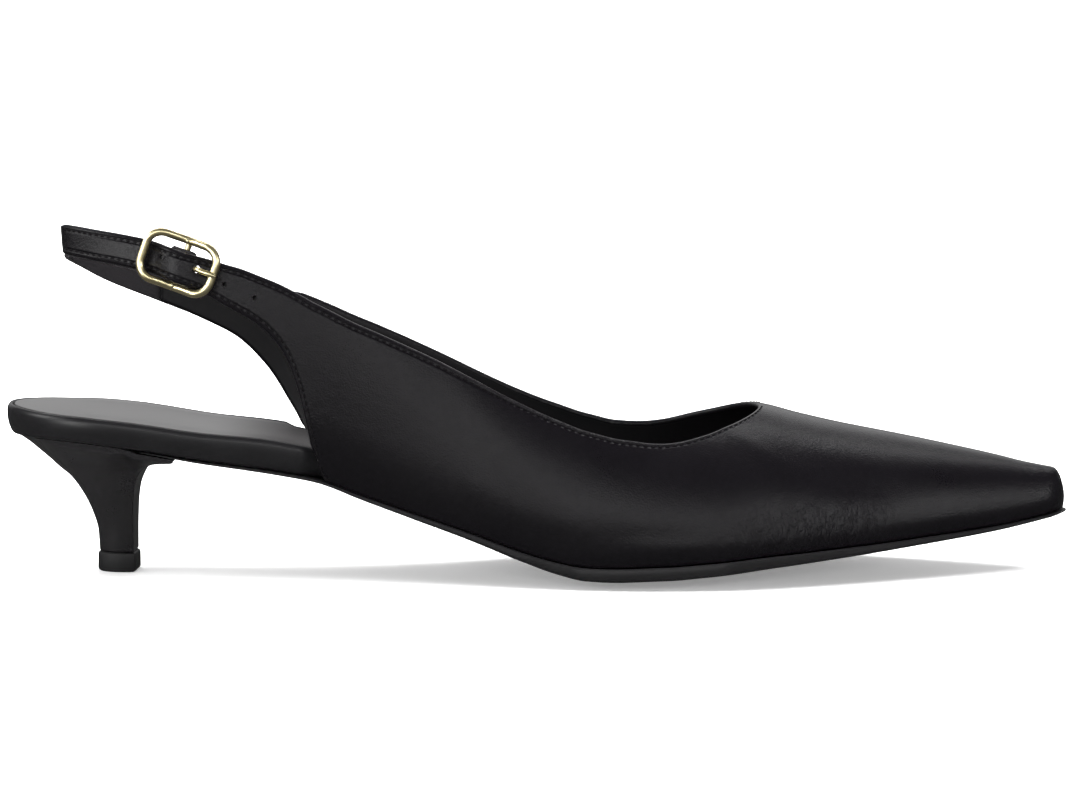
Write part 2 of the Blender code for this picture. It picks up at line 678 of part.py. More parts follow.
def build_sock(material):
    stations = [s for s in insole_stations() if s < SOCK_LENGTH - 0.003] + [SOCK_LENGTH]
    low = lambda s, y: insole_top(s, y) + GAP
    high = lambda s, y: insole_top(s, y) + GAP + SOCK_THICKNESS
    edge = ((0.0, 0.0), (0.0, 1.0))
    inset = lambda side, s: insole_inset(side, s) + SOCK_INSET
    return slab("sock_lining", stations, high, low, edge, material, inset)


def underside(s, y):
    """What the heel is fixed to: the insole, and ahead of its start the outsole's taper."""
    step = smooth(s, SOLE_START - 0.004, SOLE_START - 0.0005)
    return seam_at(s, y) - GAP - (sole_depth(s) + GAP) * step


def heel_side(back, front, half, count):
    """Points from the back round one side to the corner of the breast."""
    widest = back + 0.68 * (front - back)
    points = []
    for k in range(count + 1):
        t = k / count
        if t < 0.75:
            turn = t / 0.75 * math.pi / 2
            points.append((widest - (widest - back) * math.cos(turn), half * math.sin(turn)))
        else:
            ease = (t - 0.75) / 0.25
            narrow = half * (1 - (1 - BREAST_SHARE) * ease * ease)
            points.append((widest + (front - widest) * ease, narrow))
    return points


def heel_section(row, count, steps):
    stem_back = TOP_PIECE_BACK + TOP_PIECE_LIP
    stem_front = TOP_PIECE_BACK + TOP_PIECE_LENGTH - TOP_PIECE_LIP
    stem_half = TOP_PIECE_WIDTH / 2 - TOP_PIECE_LIP
    seat_half = SEAT_WIDTH / 2 - HEEL_INSET
    stem_top = TOP_PIECE_HEIGHT + GAP
    back = HEEL_INSET + (stem_back - HEEL_INSET) * row.back_in
    front = HEEL_LIP_AT + (stem_front - HEEL_LIP_AT) * row.front_in
    half = seat_half + (stem_half - seat_half) * row.narrow
    side = heel_side(back, front, half, count)
    ring = [(x, -y) for x, y in side]
    corner_x, corner_y = side[-1]
    for k in range(1, steps):
        ring.append((corner_x, -corner_y + 2 * corner_y * k / steps))
    ring += [(x, y) for x, y in reversed(side)][:-1]
    points = []
    middle = Vector(((stem_back + stem_front) / 2, 0.0))
    for x, y in ring:
        t = (x - back) / (front - back)
        down = row.back_down + (row.front_down - row.back_down) * t
        top = underside(x, y) - HEEL_LIP * smooth(row.narrow, 0.0, 0.05) * t
        z = top + (stem_top - top) * down
        flat = Vector((x, y)) - middle
        flat.rotate(Matrix.Rotation(HEEL_TURN * row.narrow, 2))
        points.append(Vector((middle.x + flat.x, flat.y, z)))
    return points


def build_heel(material):
    count = 12
    steps = 6
    mesh = bmesh.new()
    rings = [[mesh.verts.new(p) for p in heel_section(row, count, steps)] for row in HEEL]
    size = len(rings[0])
    for a, b in zip(rings, rings[1:]):
        for j in range(size):
            k = (j + 1) % size
            mesh.faces.new((a[j], a[k], b[k], b[j]))
    mesh.faces.new(rings[-1])
    top = rings[0]
    rows = [[top[0]] * (steps + 1)]
    for i in range(1, count):
        outer, inner = top[i], top[size - i]
        row = [outer]
        for k in range(1, steps):
            flat = outer.co.lerp(inner.co, k / steps)
            row.append(mesh.verts.new((flat.x, flat.y, underside(flat.x, flat.y))))
        rows.append(row + [inner])
    rows.append(top[count:count + steps + 1])
    for a, b in zip(rows, rows[1:]):
        for j in range(steps):
            corners = list(dict.fromkeys((a[j], a[j + 1], b[j + 1], b[j])))
            mesh.faces.new(corners)
    bmesh.ops.recalc_face_normals(mesh, faces=mesh.faces)
    return finish_mesh("heel", mesh, material)


def build_top_piece(material):
    side = heel_side(TOP_PIECE_BACK, TOP_PIECE_BACK + TOP_PIECE_LENGTH, TOP_PIECE_WIDTH / 2, 12)
    ring = [(x, -y) for x, y in side] + [(x, y) for x, y in reversed(side)][:-1]
    middle = Vector((TOP_PIECE_BACK + TOP_PIECE_LENGTH / 2, 0.0))
    mesh = bmesh.new()
    corners = []
    for x, y in ring:
        flat = Vector((x, y)) - middle
        flat.rotate(Matrix.Rotation(HEEL_TURN, 2))
        corners.append(mesh.verts.new((middle.x + flat.x, flat.y, 0.0)))
    base = mesh.faces.new(corners)
    lifted = bmesh.ops.extrude_face_region(mesh, geom=[base])
    moved = [item for item in lifted["geom"] if isinstance(item, bmesh.types.BMVert)]
    bmesh.ops.translate(mesh, verts=moved, vec=(0, 0, TOP_PIECE_HEIGHT))
    bmesh.ops.recalc_face_normals(mesh, faces=mesh.faces)
    return finish_mesh("top_piece", mesh, material)


def strap_section(turn, offset):
    """Lower edge of the strap at a loop angle, with the ways out and up its leaning width."""
    side = -1 if turn > 0 else 1
    s = LOOP_BACK + LOOP_LENGTH * (1 - math.cos(turn))
    x, y = loop_point(side, s, offset + STRAP_LEAN * STRAP_WIDTH / 2)
    far_x, far_y = loop_point(side, s, offset + 1.0)
    flat_out = Vector((far_x - x, far_y - y, 0.0)).normalized()
    rise = Vector((0.0, 0.0, 1.0)) - flat_out * STRAP_LEAN
    out = (flat_out + Vector((0.0, 0.0, STRAP_LEAN))).normalized()
    return Vector((x, y, strap_low(turn))), out, rise


def tail_middle(s):
    """Height of the tail's middle line."""
    at = s / SHOE_LENGTH
    low = between(OUTER_EDGE, "low_at", "low", at)
    top = between(OUTER_EDGE, "top_at", "top", at)
    return seam(s) + STRAP_HEIGHT * (low + top) / 2


def buckle_frame_axes():
    """Middle of the bar, and the ways out, along the strap to the toe and up its width."""
    reach = BUCKLE_LENGTH / 2
    ends = []
    for s in (BUCKLE_AT - reach, BUCKLE_AT, BUCKLE_AT + reach):
        x, y = loop_point(-1, s, 0.0)
        ends.append(Vector((x, y, tail_middle(s))))
    along = (ends[2] - ends[0]).normalized()
    flat_out = Vector((along.y, -along.x, 0.0)).normalized()
    lean = Vector((0.0, 0.0, 1.0)) - flat_out * STRAP_LEAN
    up = (lean - along * lean.dot(along)).normalized()
    return ends[1] + up * BUCKLE_LIFT, along.cross(up), along, up


def build_strap(material):
    """Flat ribbon round the heel, its end folded inwards round the bar, with the prong's slot."""
    lap, bar = loop_turns()
    middle, out, along, up = buckle_frame_axes()
    middle += out * BAR_OUT
    loop_radius = BAR / 2 + GAP + STRAP_THICKNESS / 2
    back_off = STRAP_THICKNESS + GAP
    sections = []
    count = 40
    last = bar - FOLD_FROM
    for k in range(count + 1):
        sections.append(strap_section(-lap + (last + lap) * k / count, 0.0))
    fold = ((-2.6, 0.45), (-1.5, 1.15))
    for t, n in fold:
        place = middle + along * t * loop_radius / 1.5 + out * n * loop_radius / 1.5
        slope = (along * 1.1 + out * 0.7).normalized()
        sections.append((place - up * STRAP_WIDTH / 2, out_of(slope, up), up))
    arc = 9
    for k in range(arc + 1):
        turn = math.radians(110 - 200 * k / arc)
        way = along * math.cos(turn) + out * math.sin(turn)
        sections.append((middle + way * loop_radius - up * STRAP_WIDTH / 2, way, up))
    back_count = 5
    for k in range(1, back_count + 1):
        distance = FOLD_RETURN * k / back_count
        turn = bar - FOLD_BACK - distance / math.hypot(LOOP_LENGTH * math.sin(bar), LOOP_OUTER / 2)
        depth = loop_radius + (back_off - loop_radius) * min(1.0, k / 2)
        low, outward, rise = strap_section(turn, -depth)
        sections.append((low, -outward, rise))
    mesh = bmesh.new()
    half = STRAP_THICKNESS / 2
    rings = []
    for low, normal, rise in sections:
        top = low + rise * STRAP_WIDTH
        points = (low + normal * half, top + normal * half, top - normal * half, low - normal * half)
        rings.append([mesh.verts.new(point) for point in points])
    for a, b in zip(rings, rings[1:]):
        for j in range(4):
            k = (j + 1) % 4
            mesh.faces.new((a[j], b[j], b[k], a[k]))
    mesh.faces.new(rings[0])
    mesh.faces.new(rings[-1][::-1])
    bmesh.ops.recalc_face_normals(mesh, faces=mesh.faces)
    part = finish_mesh("heel_strap", mesh, material)
    size = (*PRONG_SLOT, 4 * STRAP_THICKNESS)
    slot = add_box("prong_slot", middle, (along, up, out), size, material)
    cut(part, slot)
    return part


def out_of(slope, up):
    """Normal of a ribbon that runs along slope."""
    normal = slope.cross(up).normalized()
    return normal if normal.y < 0 else -normal


def add_box(name, middle, axes, sizes, material):
    mesh = bmesh.new()
    bmesh.ops.create_cube(mesh, size=1.0)
    for vert in mesh.verts:
        spread = [axis * size * value for axis, size, value in zip(axes, sizes, vert.co)]
        vert.co = middle + spread[0] + spread[1] + spread[2]
    return finish_mesh(name, mesh, material)


def tube(name, path, radius, sides, material, closed=False):
    """Round wire along points given in metres."""
    mesh = bmesh.new()
    rings = []
    count = len(path)
    side_way = None
    for k, point in enumerate(path):
        before = path[(k - 1) % count] if closed else path[max(0, k - 1)]
        after = path[(k + 1) % count] if closed else path[min(count - 1, k + 1)]
        way = (after - before).normalized()
        if side_way is None:
            side_way = way.orthogonal().normalized()
        side_way = (side_way - way * side_way.dot(way)).normalized()
        other = way.cross(side_way)
        ring = []
        for j in range(sides):
            turn = 2 * math.pi * j / sides
            spoke = side_way * math.cos(turn) + other * math.sin(turn)
            ring.append(mesh.verts.new(point + spoke * radius))
        rings.append(ring)
    pairs = list(zip(rings, rings[1:]))
    for a, b in pairs:
        join_rings(mesh, a, b, 0)
    if closed:
        first = rings[0]
        last = rings[-1]
        shift = min(range(sides), key=lambda j: (first[j].co - last[0].co).length)
        join_rings(mesh, last, first, shift)
    else:
        mesh.faces.new(rings[0][::-1])
        mesh.faces.new(rings[-1])
    bmesh.ops.recalc_face_normals(mesh, faces=mesh.faces)
    return finish_mesh(name, mesh, material)


def join_rings(mesh, a, b, shift):
    sides = len(a)
    for j in range(sides):
        k = (j + 1) % sides
        mesh.faces.new((a[j], a[k], b[(k + shift) % sides], b[(j + shift) % sides]))


def build_buckle(material):
    """Bowed rounded rectangle of wire with a bar across its middle."""
    middle, out, along, up = buckle_frame_axes()
    long_half = BUCKLE_LENGTH / 2 - WIRE / 2
    wide_half = BUCKLE_WIDTH / 2 - WIRE / 2
    ends = STRAP_THICKNESS / 2 + LAP_GAP + GAP + WALL + WIRE / 2
    corners = ((1, 1, 0), (-1, 1, 90), (-1, -1, 180), (1, -1, 270))
    plan = []
    for sign_t, sign_w, first in corners:
        for k in range(5):
            turn = math.radians(first + 90 * k / 4)
            t = sign_t * (long_half - BUCKLE_CORNER) + BUCKLE_CORNER * math.cos(turn)
            w = sign_w * (wide_half - BUCKLE_CORNER) + BUCKLE_CORNER * math.sin(turn)
            plan.append((t, w))
        if first in (0, 180):
            reach = long_half - BUCKLE_CORNER
            for k in range(1, 6):
                t = sign_t * (reach - 2 * reach * k / 6)
                plan.append((t, sign_w * wide_half))
    path = []
    bowed = long_half - BUCKLE_CORNER / 2
    for t, w in plan:
        n = ends - BUCKLE_BOW * math.cos(math.pi / 2 * min(1.0, abs(t) / bowed)) ** 2
        path.append(middle + along * t + out * n + up * w)
    frame = tube("buckle_frame", path, WIRE / 2, 8, material, closed=True)
    bar_middle = middle + out * BAR_OUT
    bar_path = [bar_middle + up * wide_half * share for share in (-1.0, -0.5, 0.0, 0.5, 1.0)]
    bar = tube("bar", bar_path, BAR / 2, 8, material)
    bar.hide_render = True
    bar.display_type = "WIRE"
    union = frame.modifiers.new("bar", "BOOLEAN")
    union.operation = "UNION"
    union.object = bar
    return frame


def build_prong(material):
    """Ring round the bar, pin through the hole, tip on the front of the frame."""
    middle, out, along, up = buckle_frame_axes()
    radius = PRONG / 2
    ring = BAR / 2 + GAP / 2 + radius
    rest = STRAP_THICKNESS / 2 + LAP_GAP + 2 * GAP + WALL + WIRE + radius
    pin = []
    for k in range(11):
        turn = math.radians(380 - 300 * k / 10)
        pin.append((ring * math.cos(turn), BAR_OUT + ring * math.sin(turn)))
    hole = PRONG_HOLE_AT
    under = STRAP_THICKNESS / 2 + LAP_GAP + radius / 2
    over = under + tail_rise(BUCKLE_AT + hole) + WALL
    pin += [(ring, BAR_OUT + ring * 0.8), (hole - 0.0017, under), (hole - 0.0007, under)]
    pin += [(hole - 0.0001, under + 0.0008), (hole, over - 0.0002), (hole + 0.0005, over + WIRE / 2)]
    pin += [(hole + 0.0016, rest - 0.0002), (BUCKLE_LENGTH / 2 - WIRE, rest)]
    pin += [(BUCKLE_LENGTH / 2 + 0.0003, rest - 0.0001)]
    path = [middle + along * t + out * n for t, n in pin]
    return tube("buckle_prong", path, radius, 6, material)


def clear_scene():
    for item in list(bpy.data.objects):
        bpy.data.objects.remove(item, do_unlink=True)


def centre_on_floor(parts):
    """Put the middle of the length and width over the origin."""
    bpy.context.view_layer.update()
    graph = bpy.context.evaluated_depsgraph_get()
    xs, ys = [], []
    for part in parts:
        mesh = part.evaluated_get(graph).to_mesh()
        xs += [vert.co.x for vert in mesh.vertices]
        ys += [vert.co.y for vert in mesh.vertices]
    shoe = bpy.data.objects.new("shoe", None)
    bpy.context.collection.objects.link(shoe)
    for item in list(bpy.data.objects):
        if item is not shoe:
            item.parent = shoe
    shoe.location = (-(min(xs) + max(xs)) / 2, -(min(ys) + max(ys)) / 2, 0.0)


def main():
    clear_scene()
    leather = make_material("leather_black", (0.012, 0.011, 0.013), 0.42)
    sole_material = make_material("sole_black", (0.015, 0.015, 0.016), 0.55)
    sock_material = make_material("sock_grey", (0.045, 0.044, 0.047), 0.50)
    heel_material = make_material("heel_cover", (0.014, 0.013, 0.015), 0.35)
    rubber = make_material("top_piece_rubber", (0.020, 0.020, 0.021), 0.70)
    gold = make_material("gold_metal", (0.83, 0.68, 0.42), 0.22, 1.0)
    parts = [
        build_outsole(sole_material),
        build_upper(leather),
        build_insole(leather),
        build_sock(sock_material),
        build_heel(heel_material),
        build_top_piece(rubber),
        build_strap(leather),
        build_buckle(gold),
        build_prong(gold),
    ]
    centre_on_floor(parts)


main()
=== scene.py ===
"""Dressed black slingback pump: smooth leather, satin sock, covered heel and a pale gold buckle."""
import math
from collections import namedtuple

import bpy
from mathutils import Matrix, Vector
from mathutils.kdtree import KDTree


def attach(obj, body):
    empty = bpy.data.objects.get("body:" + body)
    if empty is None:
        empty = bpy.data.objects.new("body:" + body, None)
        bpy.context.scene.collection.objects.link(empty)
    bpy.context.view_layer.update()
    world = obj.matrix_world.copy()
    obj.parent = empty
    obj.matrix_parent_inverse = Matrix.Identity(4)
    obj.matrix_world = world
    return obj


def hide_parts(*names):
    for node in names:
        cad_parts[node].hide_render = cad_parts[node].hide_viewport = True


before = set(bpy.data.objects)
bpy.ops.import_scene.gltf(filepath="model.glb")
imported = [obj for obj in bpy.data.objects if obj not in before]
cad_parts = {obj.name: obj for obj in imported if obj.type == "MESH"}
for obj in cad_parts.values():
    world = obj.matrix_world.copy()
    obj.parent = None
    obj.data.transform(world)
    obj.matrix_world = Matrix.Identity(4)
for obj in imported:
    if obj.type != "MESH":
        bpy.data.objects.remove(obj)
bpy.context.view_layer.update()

# Sizes of the last, in metres from the back of the seat
SHOE_LENGTH = 0.2626
BALL_WIDTH = 0.0728
SEAT_WIDTH = 0.050
HEEL_HEIGHT = 0.0350
TOE_SPRING = 0.0121
TOE_SWING = 0.0030
INSTEP_HEIGHT = 0.0362
CROWN = 0.0032
SEAT_ROUND = 0.030
TOE_ROUND = 0.0055
TOE_CAP_ROUND = 0.0031
SECTION_POWER = 2.25
WALL = 0.0017
FEATHER_INSET = 0.0006
TUCK = 0.0015
TOE_TUCK = 0.0004
TIE_START = 0.052
TIE_END = 0.082
STRAP_HEIGHT = 0.0523
THROAT_AT = 0.708
THROAT_START = 0.590
THROAT_EASE = 1.75
THROAT_OUTER = 2.25
THROAT_INNER = 1.75
STRAP_WIDTH = 0.0072
STRAP_THICKNESS = 0.0014
STRAP_LEAN = 0.14
LOOP_BACK = 0.0156
LOOP_LENGTH = 0.0595
LOOP_OUTER = 0.0245
LOOP_INNER = 0.0210
LAP_END = 0.0360
LAP_LENGTH = 0.0100
LAP_GAP = 0.0005
TAIL_FLARE = 0.0010
BUCKLE_AT = 0.0455
BUCKLE_LIFT = 0.0003
BUCKLE_LENGTH = 0.0204
BUCKLE_WIDTH = 0.0138
BUCKLE_CORNER = 0.0040
WIRE = 0.0020
BAR = 0.0016
BAR_OUT = 0.0003
BUCKLE_BOW = 0.0027
TAIL_RISE = 0.0022
TAIL_RISE_LENGTH = 0.0075
FOLD_RETURN = 0.0090
FOLD_FROM = 0.075
FOLD_BACK = 0.030
FOLD_SPREAD = 0.012
PRONG_SLOT = (0.0072, 0.0024, 0.0056)
PRONG = 0.0013
PRONG_HOLE_AT = 0.0044
SOLE_THICKNESS = 0.0033
SOLE_EDGE = 0.0003
SOLE_START = 0.0350
RAND_HEIGHT = 0.0068
RAND_LEAN = 0.0014
RAND_ROUND = 0.0011
RIM = 1.15
SOCK_THICKNESS = 0.0007
SOCK_INSET = 0.0018
SOCK_LENGTH = 0.205
DISH = 0.0012
FOOT_STEP = 0.0015
FOOT_FROM = 0.0068
FOOT_TO = 0.0042
TOP_PIECE_LENGTH = 0.0099
TOP_PIECE_WIDTH = 0.0098
TOP_PIECE_HEIGHT = 0.0049
TOP_PIECE_BACK = 0.0220
TOP_PIECE_LIP = 0.0004
HEEL_INSET = 0.0026
HEEL_LIP_AT = 0.0430
HEEL_LIP = 0.0009
HEEL_TURN = math.radians(-4)
BREAST_SHARE = 0.90
GAP = 0.0003

# How finely the upper is laid out: rows between two rows of an edge table, rows of the vamp in
# the throat, before the toe and at the toe, and steps from each row's lower to its upper end
QUARTER_STEPS = 6
THROAT_ROWS = 34
VAMP_ROWS = 40
TOE_ROWS = 24
TOE_AT = 0.93
UPPER_STEPS = 44

PLACE = Vector((-0.13145, 0.00082, 0.0))   # from the back of the seat to the model's own origin
EDGE_ROUND = WALL / 2                       # the upper's cut edges are turned over

OutlineRow = namedtuple("OutlineRow", "at outer inner outer_tuck inner_tuck tuck_height")
OUTLINE = [OutlineRow(*row) for row in (
    (0.0, .5, .5, .7, .7, .3), (.06, .5, .492, .7, .7, .3),
    (.115, .5, .478, .8, 1.0, .35), (.2, .494, .424, 1.2, 2.2, .4),
    (.267, .476, .362, 1.6, 3.2, .44), (.324, .458, .328, 1.8, 3.4, .44),
    (.382, .451, .32, 1.8, 3.2, .42), (.439, .461, .338, 1.7, 2.6, .38),
    (.496, .476, .372, 1.5, 2.0, .32), (.553, .492, .416, 1.3, 1.5, .24),
    (.611, .503, .456, 1.0, 1.1, .17), (.668, .5, .48, .9, .9, .13),
    (.725, .461, .471, .8, .8, .12), (.782, .393, .417, .8, .8, .12),
    (.84, .31, .338, .8, .8, .12), (.897, .223, .248, .8, .8, .12),
    (.935, .165, .184, .7, .7, .12), (.962, .123, .138, .7, .7, .12),
    (1.0, .07, .078, .6, .6, .12),
)]
ProfileRow = namedtuple("ProfileRow", "at lift spring crown sole bed")
PROFILE = [ProfileRow(*row) for row in (
    (0.0, 1.0, 0.0, 0.0, .1, .94), (.025, .998, 0.0, 0.0, .1, .86),
    (.061, .99, 0.0, 0.0, .12, .8), (.115, .946, 0.0, 0.0, .14, .83),
    (.187, .852, 0.0, 0.0, .3, .87), (.256, .775, 0.0, 0.0, .36, .95),
    (.296, .712, 0.0, .02, .34, .92), (.336, .592, 0.0, .06, .42, .76),
    (.385, .448, 0.0, .15, .52, .58), (.435, .3, 0.0, .3, .62, .48),
    (.485, .146, 0.0, .42, .76, .42), (.515, .068, 0.0, .52, .92, .4),
    (.545, .015, 0.0, .64, 1.05, .4), (.58, 0.0, 0.0, .78, 1.08, .4),
    (.62, 0.0, 0.0, .93, 1.08, .4), (.655, 0.0, .04, 1.0, 1.05, .4),
    (.7, 0.0, .15, .94, .98, .4), (.745, 0.0, .29, .68, .88, .4),
    (.84, 0.0, .53, .3, .66, .4), (.935, 0.0, .76, .1, .46, .4),
    (1.0, 0.0, 1.0, 0.0, .32, .4),
)]
RidgeRow = namedtuple("RidgeRow", "at height")
RIDGE = [RidgeRow(*row) for row in (
    (0.0, 2.75), (.19, 2.7), (.271, 2.58), (.317, 2.33), (.359, 2.0), (.405, 1.74), (.45, 1.54),
    (.496, 1.39), (.553, 1.27), (.611, 1.14), (.66, 1.065), (.708, 1.0), (.745, .895),
    (.782, .8), (.84, .67), (.897, .54), (.935, .445), (.962, .365), (1.0, .262),
)]
EdgeRow = namedtuple("EdgeRow", "top_at top low_at low")
OUTER_EDGE = [EdgeRow(*row) for row in (
    (.063, .995, .069, .86), (.078, .996, .0825, .855), (.0947, .994, .098, .85),
    (.115, .992, .115, .846), (.1412, .987, .1412, .838), (.168, .971, .168, .822),
    (.1947, .951, .1947, .79), (.213, .935, .211, .755), (.229, .922, .2267, .72),
    (.245, .901, .2405, .688), (.2615, .879, .2542, .642), (.2748, .856, .2653, .585),
    (.288, .831, .2725, .525), (.3015, .813, .2798, .432), (.3206, .798, .289, .27),
    (.336, .791, .295, .13), (.348, .787, .3, .04), (.36, .782, .308, 0.0),
    (.4008, .763, .356, 0.0), (.439, .735, .408, 0.0), (.481, .706, .466, 0.0),
    (.519, .68, .514, 0.0), (.5515, .652, .5515, 0.0), (.572, .632, .572, 0.0),
    (.59, .62, .59, 0.0),
)]
INNER_EDGE = [EdgeRow(*row) for row in (
    (.1374, .77, .1374, .642), (.1565, .756, .1565, .62), (.1756, .748, .1737, .594),
    (.1985, .757, .191, .564), (.2137, .765, .203, .54), (.229, .77, .2145, .508),
    (.244, .771, .224, .47), (.26, .775, .2336, .424), (.272, .775, .2431, .372),
    (.285, .765, .2523, .308), (.298, .754, .2618, .232), (.313, .745, .272, .15),
    (.326, .742, .279, .07), (.34, .74, .286, 0.0), (.368, .731, .322, 0.0),
    (.406, .712, .368, 0.0), (.4447, .688, .418, 0.0), (.483, .671, .469, 0.0),
    (.522, .655, .517, 0.0), (.5515, .631, .5515, 0.0), (.572, .61, .572, 0.0),
    (.59, .603, .59, 0.0),
)]
StrapRow = namedtuple("StrapRow", "round low")
STRAP_EDGE = [StrapRow(*row) for row in (
    (-1.0, .59), (-.75, .651), (-.5, .713), (-.25, .779), (0.0, .818), (.25, .838),
    (.5, .838), (.75, .826), (1.0, .806),
)]
HeelRow = namedtuple("HeelRow", "level back_down back_in front_down front_in narrow")
HEEL = [HeelRow(k, *row) for k, row in enumerate((
    (0.0, 0.0, 0.0, 0.0, 0.0), (.07, .15, .02, .11, .08), (.135, .262, .05, .29, .21),
    (.21, .39, .085, .48, .36), (.285, .508, .13, .63, .505),
    (.366, .648, .205, .78, .68), (.46, .755, .305, .89, .805),
    (.545, .832, .41, .955, .88), (.66, .912, .575, .99, .94), (.83, .985, .8, 1.0, .98),
    (1.0, 1.0, 1.0, 1.0, 1.0),
))]

# Creases of the leather: side, place along, share of the ridge's height, way in degrees
# from the shoe's length, half length, half width and depth. Negative depth is a soft ridge.
Crease = namedtuple("Crease", "side at share way long wide deep")
CREASES = (
    Crease(-1, 0.2050, 0.60, -14, 0.0150, 0.0050, 0.00055),
    Crease(-1, 0.1830, 0.78, -32, 0.0130, 0.0016, -0.00020),
    Crease(-1, 0.1960, 0.36, 70, 0.0080, 0.0014, 0.00012),
    Crease(-1, 0.1900, 0.30, 74, 0.0070, 0.0012, 0.00010),
    Crease(-1, 0.2020, 0.30, 66, 0.0070, 0.0012, 0.00009),
    Crease(-1, 0.2085, 0.26, 64, 0.0060, 0.0012, 0.00008),
    Crease(-1, 0.1480, 0.16, 8, 0.0220, 0.0040, 0.00030),
    Crease(-1, 0.1150, 0.40, -48, 0.0200, 0.0060, 0.00030),
    Crease(1, 0.1940, 0.34, -70, 0.0080, 0.0014, 0.00012),
    Crease(1, 0.2010, 0.30, -66, 0.0070, 0.0012, 0.00009),
    Crease(1, 0.2060, 0.58, 14, 0.0140, 0.0050, 0.00040),
    Crease(1, 0.1480, 0.18, -8, 0.0200, 0.0040, 0.00025),
)


def smooth(value, low, high):
    t = min(1.0, max(0.0, (value - low) / (high - low)))
    return t * t * (3 - 2 * t)


def between(rows, key, column, value):
    """Value of a column where its key column is value, on a curve without overshoot."""
    xs = [getattr(row, key) for row in rows]
    ys = [getattr(row, column) for row in rows]
    value = min(max(value, xs[0]), xs[-1])
    steps = [b - a for a, b in zip(xs, xs[1:])]
    slopes = [(b - a) / step for a, b, step in zip(ys, ys[1:], steps)]
    tangents = [slopes[0]]
    for left, right in zip(slopes, slopes[1:]):
        same_way = left * right > 0
        tangents.append(2 * left * right / (left + right) if same_way else 0.0)
    tangents.append(slopes[-1])
    i = max(k for k in range(len(steps)) if xs[k] <= value)
    t = (value - xs[i]) / steps[i]
    rise = steps[i] * ((t ** 3 - 2 * t * t + t) * tangents[i] + (t ** 3 - t * t) * tangents[i + 1])
    return ys[i] + (ys[i + 1] - ys[i]) * t * t * (3 - 2 * t) + rise


def edge_of(side):
    return OUTER_EDGE if side < 0 else INNER_EDGE


def runs(points):
    """Distances along a line of points, from its first."""
    lengths = [0.0]
    for a, b in zip(points, points[1:]):
        lengths.append(lengths[-1] + (b - a).length)
    return lengths


def round_end(distance, length):
    t = min(1.0, max(0.0, distance / length))
    return math.sqrt(max(0.0, 1 - (1 - t) ** 2))


def centre(s):
    t = max(0.0, s / SHOE_LENGTH - 0.55) / 0.45
    return TOE_SWING * t * t


def half_width(side, s):
    at = s / SHOE_LENGTH
    local = SEAT_WIDTH + (BALL_WIDTH - SEAT_WIDTH) * smooth(at, 0.2, 0.6)
    share = between(OUTLINE, "at", "inner" if side > 0 else "outer", at)
    return local * share * round_end(s, SEAT_ROUND) * round_end(SHOE_LENGTH - s, TOE_ROUND)


def seam(s):
    at = s / SHOE_LENGTH
    lift = between(PROFILE, "at", "lift", at) * (HEEL_HEIGHT - SOLE_THICKNESS)
    return SOLE_THICKNESS + lift + between(PROFILE, "at", "spring", at) * TOE_SPRING


def crown(s):
    return CROWN * between(PROFILE, "at", "crown", s / SHOE_LENGTH)


def across(s, y):
    side = 1 if y > centre(s) else -1
    return min(1.0, abs(y - centre(s)) / max(half_width(side, s), 0.0015))


def seam_at(s, y):
    return seam(s) + crown(s) * across(s, y) ** 2


def sole_depth(s):
    return SOLE_THICKNESS * between(PROFILE, "at", "sole", s / SHOE_LENGTH)


def bed_height(s):
    return RAND_HEIGHT * between(PROFILE, "at", "bed", s / SHOE_LENGTH)


def ridge_height(s):
    height = INSTEP_HEIGHT * between(RIDGE, "at", "height", s / SHOE_LENGTH) - crown(s)
    return height * round_end(SHOE_LENGTH - s, TOE_CAP_ROUND)


def wall_y(side, s, share):
    at = s / SHOE_LENGTH
    tuck = TUCK * between(OUTLINE, "at", "inner_tuck" if side > 0 else "outer_tuck", at)
    tuck *= round_end(SHOE_LENGTH - s, TOE_ROUND)
    height = INSTEP_HEIGHT * between(OUTLINE, "at", "tuck_height", at)
    rise = min(1.0, share * ridge_height(s) / height)
    width = max(0.0, half_width(side, s) - FEATHER_INSET)
    body = max(0.0, 1 - share ** SECTION_POWER) ** (1 / SECTION_POWER)
    return (width + tuck) * body - tuck * (1 - rise) ** 2 * body


def loop_point(side, s, offset):
    reach = LOOP_OUTER if side < 0 else LOOP_INNER
    t = min(1.0, max(0.0, (s - LOOP_BACK) / LOOP_LENGTH))
    angle = math.acos(1 - t)
    along = LOOP_LENGTH * math.sin(angle)
    over = reach * math.cos(angle)
    size = math.hypot(along, over)
    x = LOOP_BACK + LOOP_LENGTH * (1 - math.cos(angle)) - offset * over / size
    return x, side * (reach * math.sin(angle) + offset * along / size)


def tail_rise(s):
    t = min(1.0, abs(s - BUCKLE_AT) / TAIL_RISE_LENGTH)
    return TAIL_RISE * (0.5 + 0.5 * math.cos(math.pi * t))


def loop_turns():
    lap = math.acos(1 - (LAP_END + LAP_LENGTH - LOOP_BACK) / LOOP_LENGTH)
    bar = math.acos(1 - (BUCKLE_AT - LOOP_BACK) / LOOP_LENGTH)
    return lap, bar


def strap_low(turn):
    lap, bar = loop_turns()
    low = between(STRAP_EDGE, "round", "low", turn / (bar if turn > 0 else lap))
    return seam(LOOP_BACK + LOOP_LENGTH * (1 - math.cos(turn))) + low * STRAP_HEIGHT


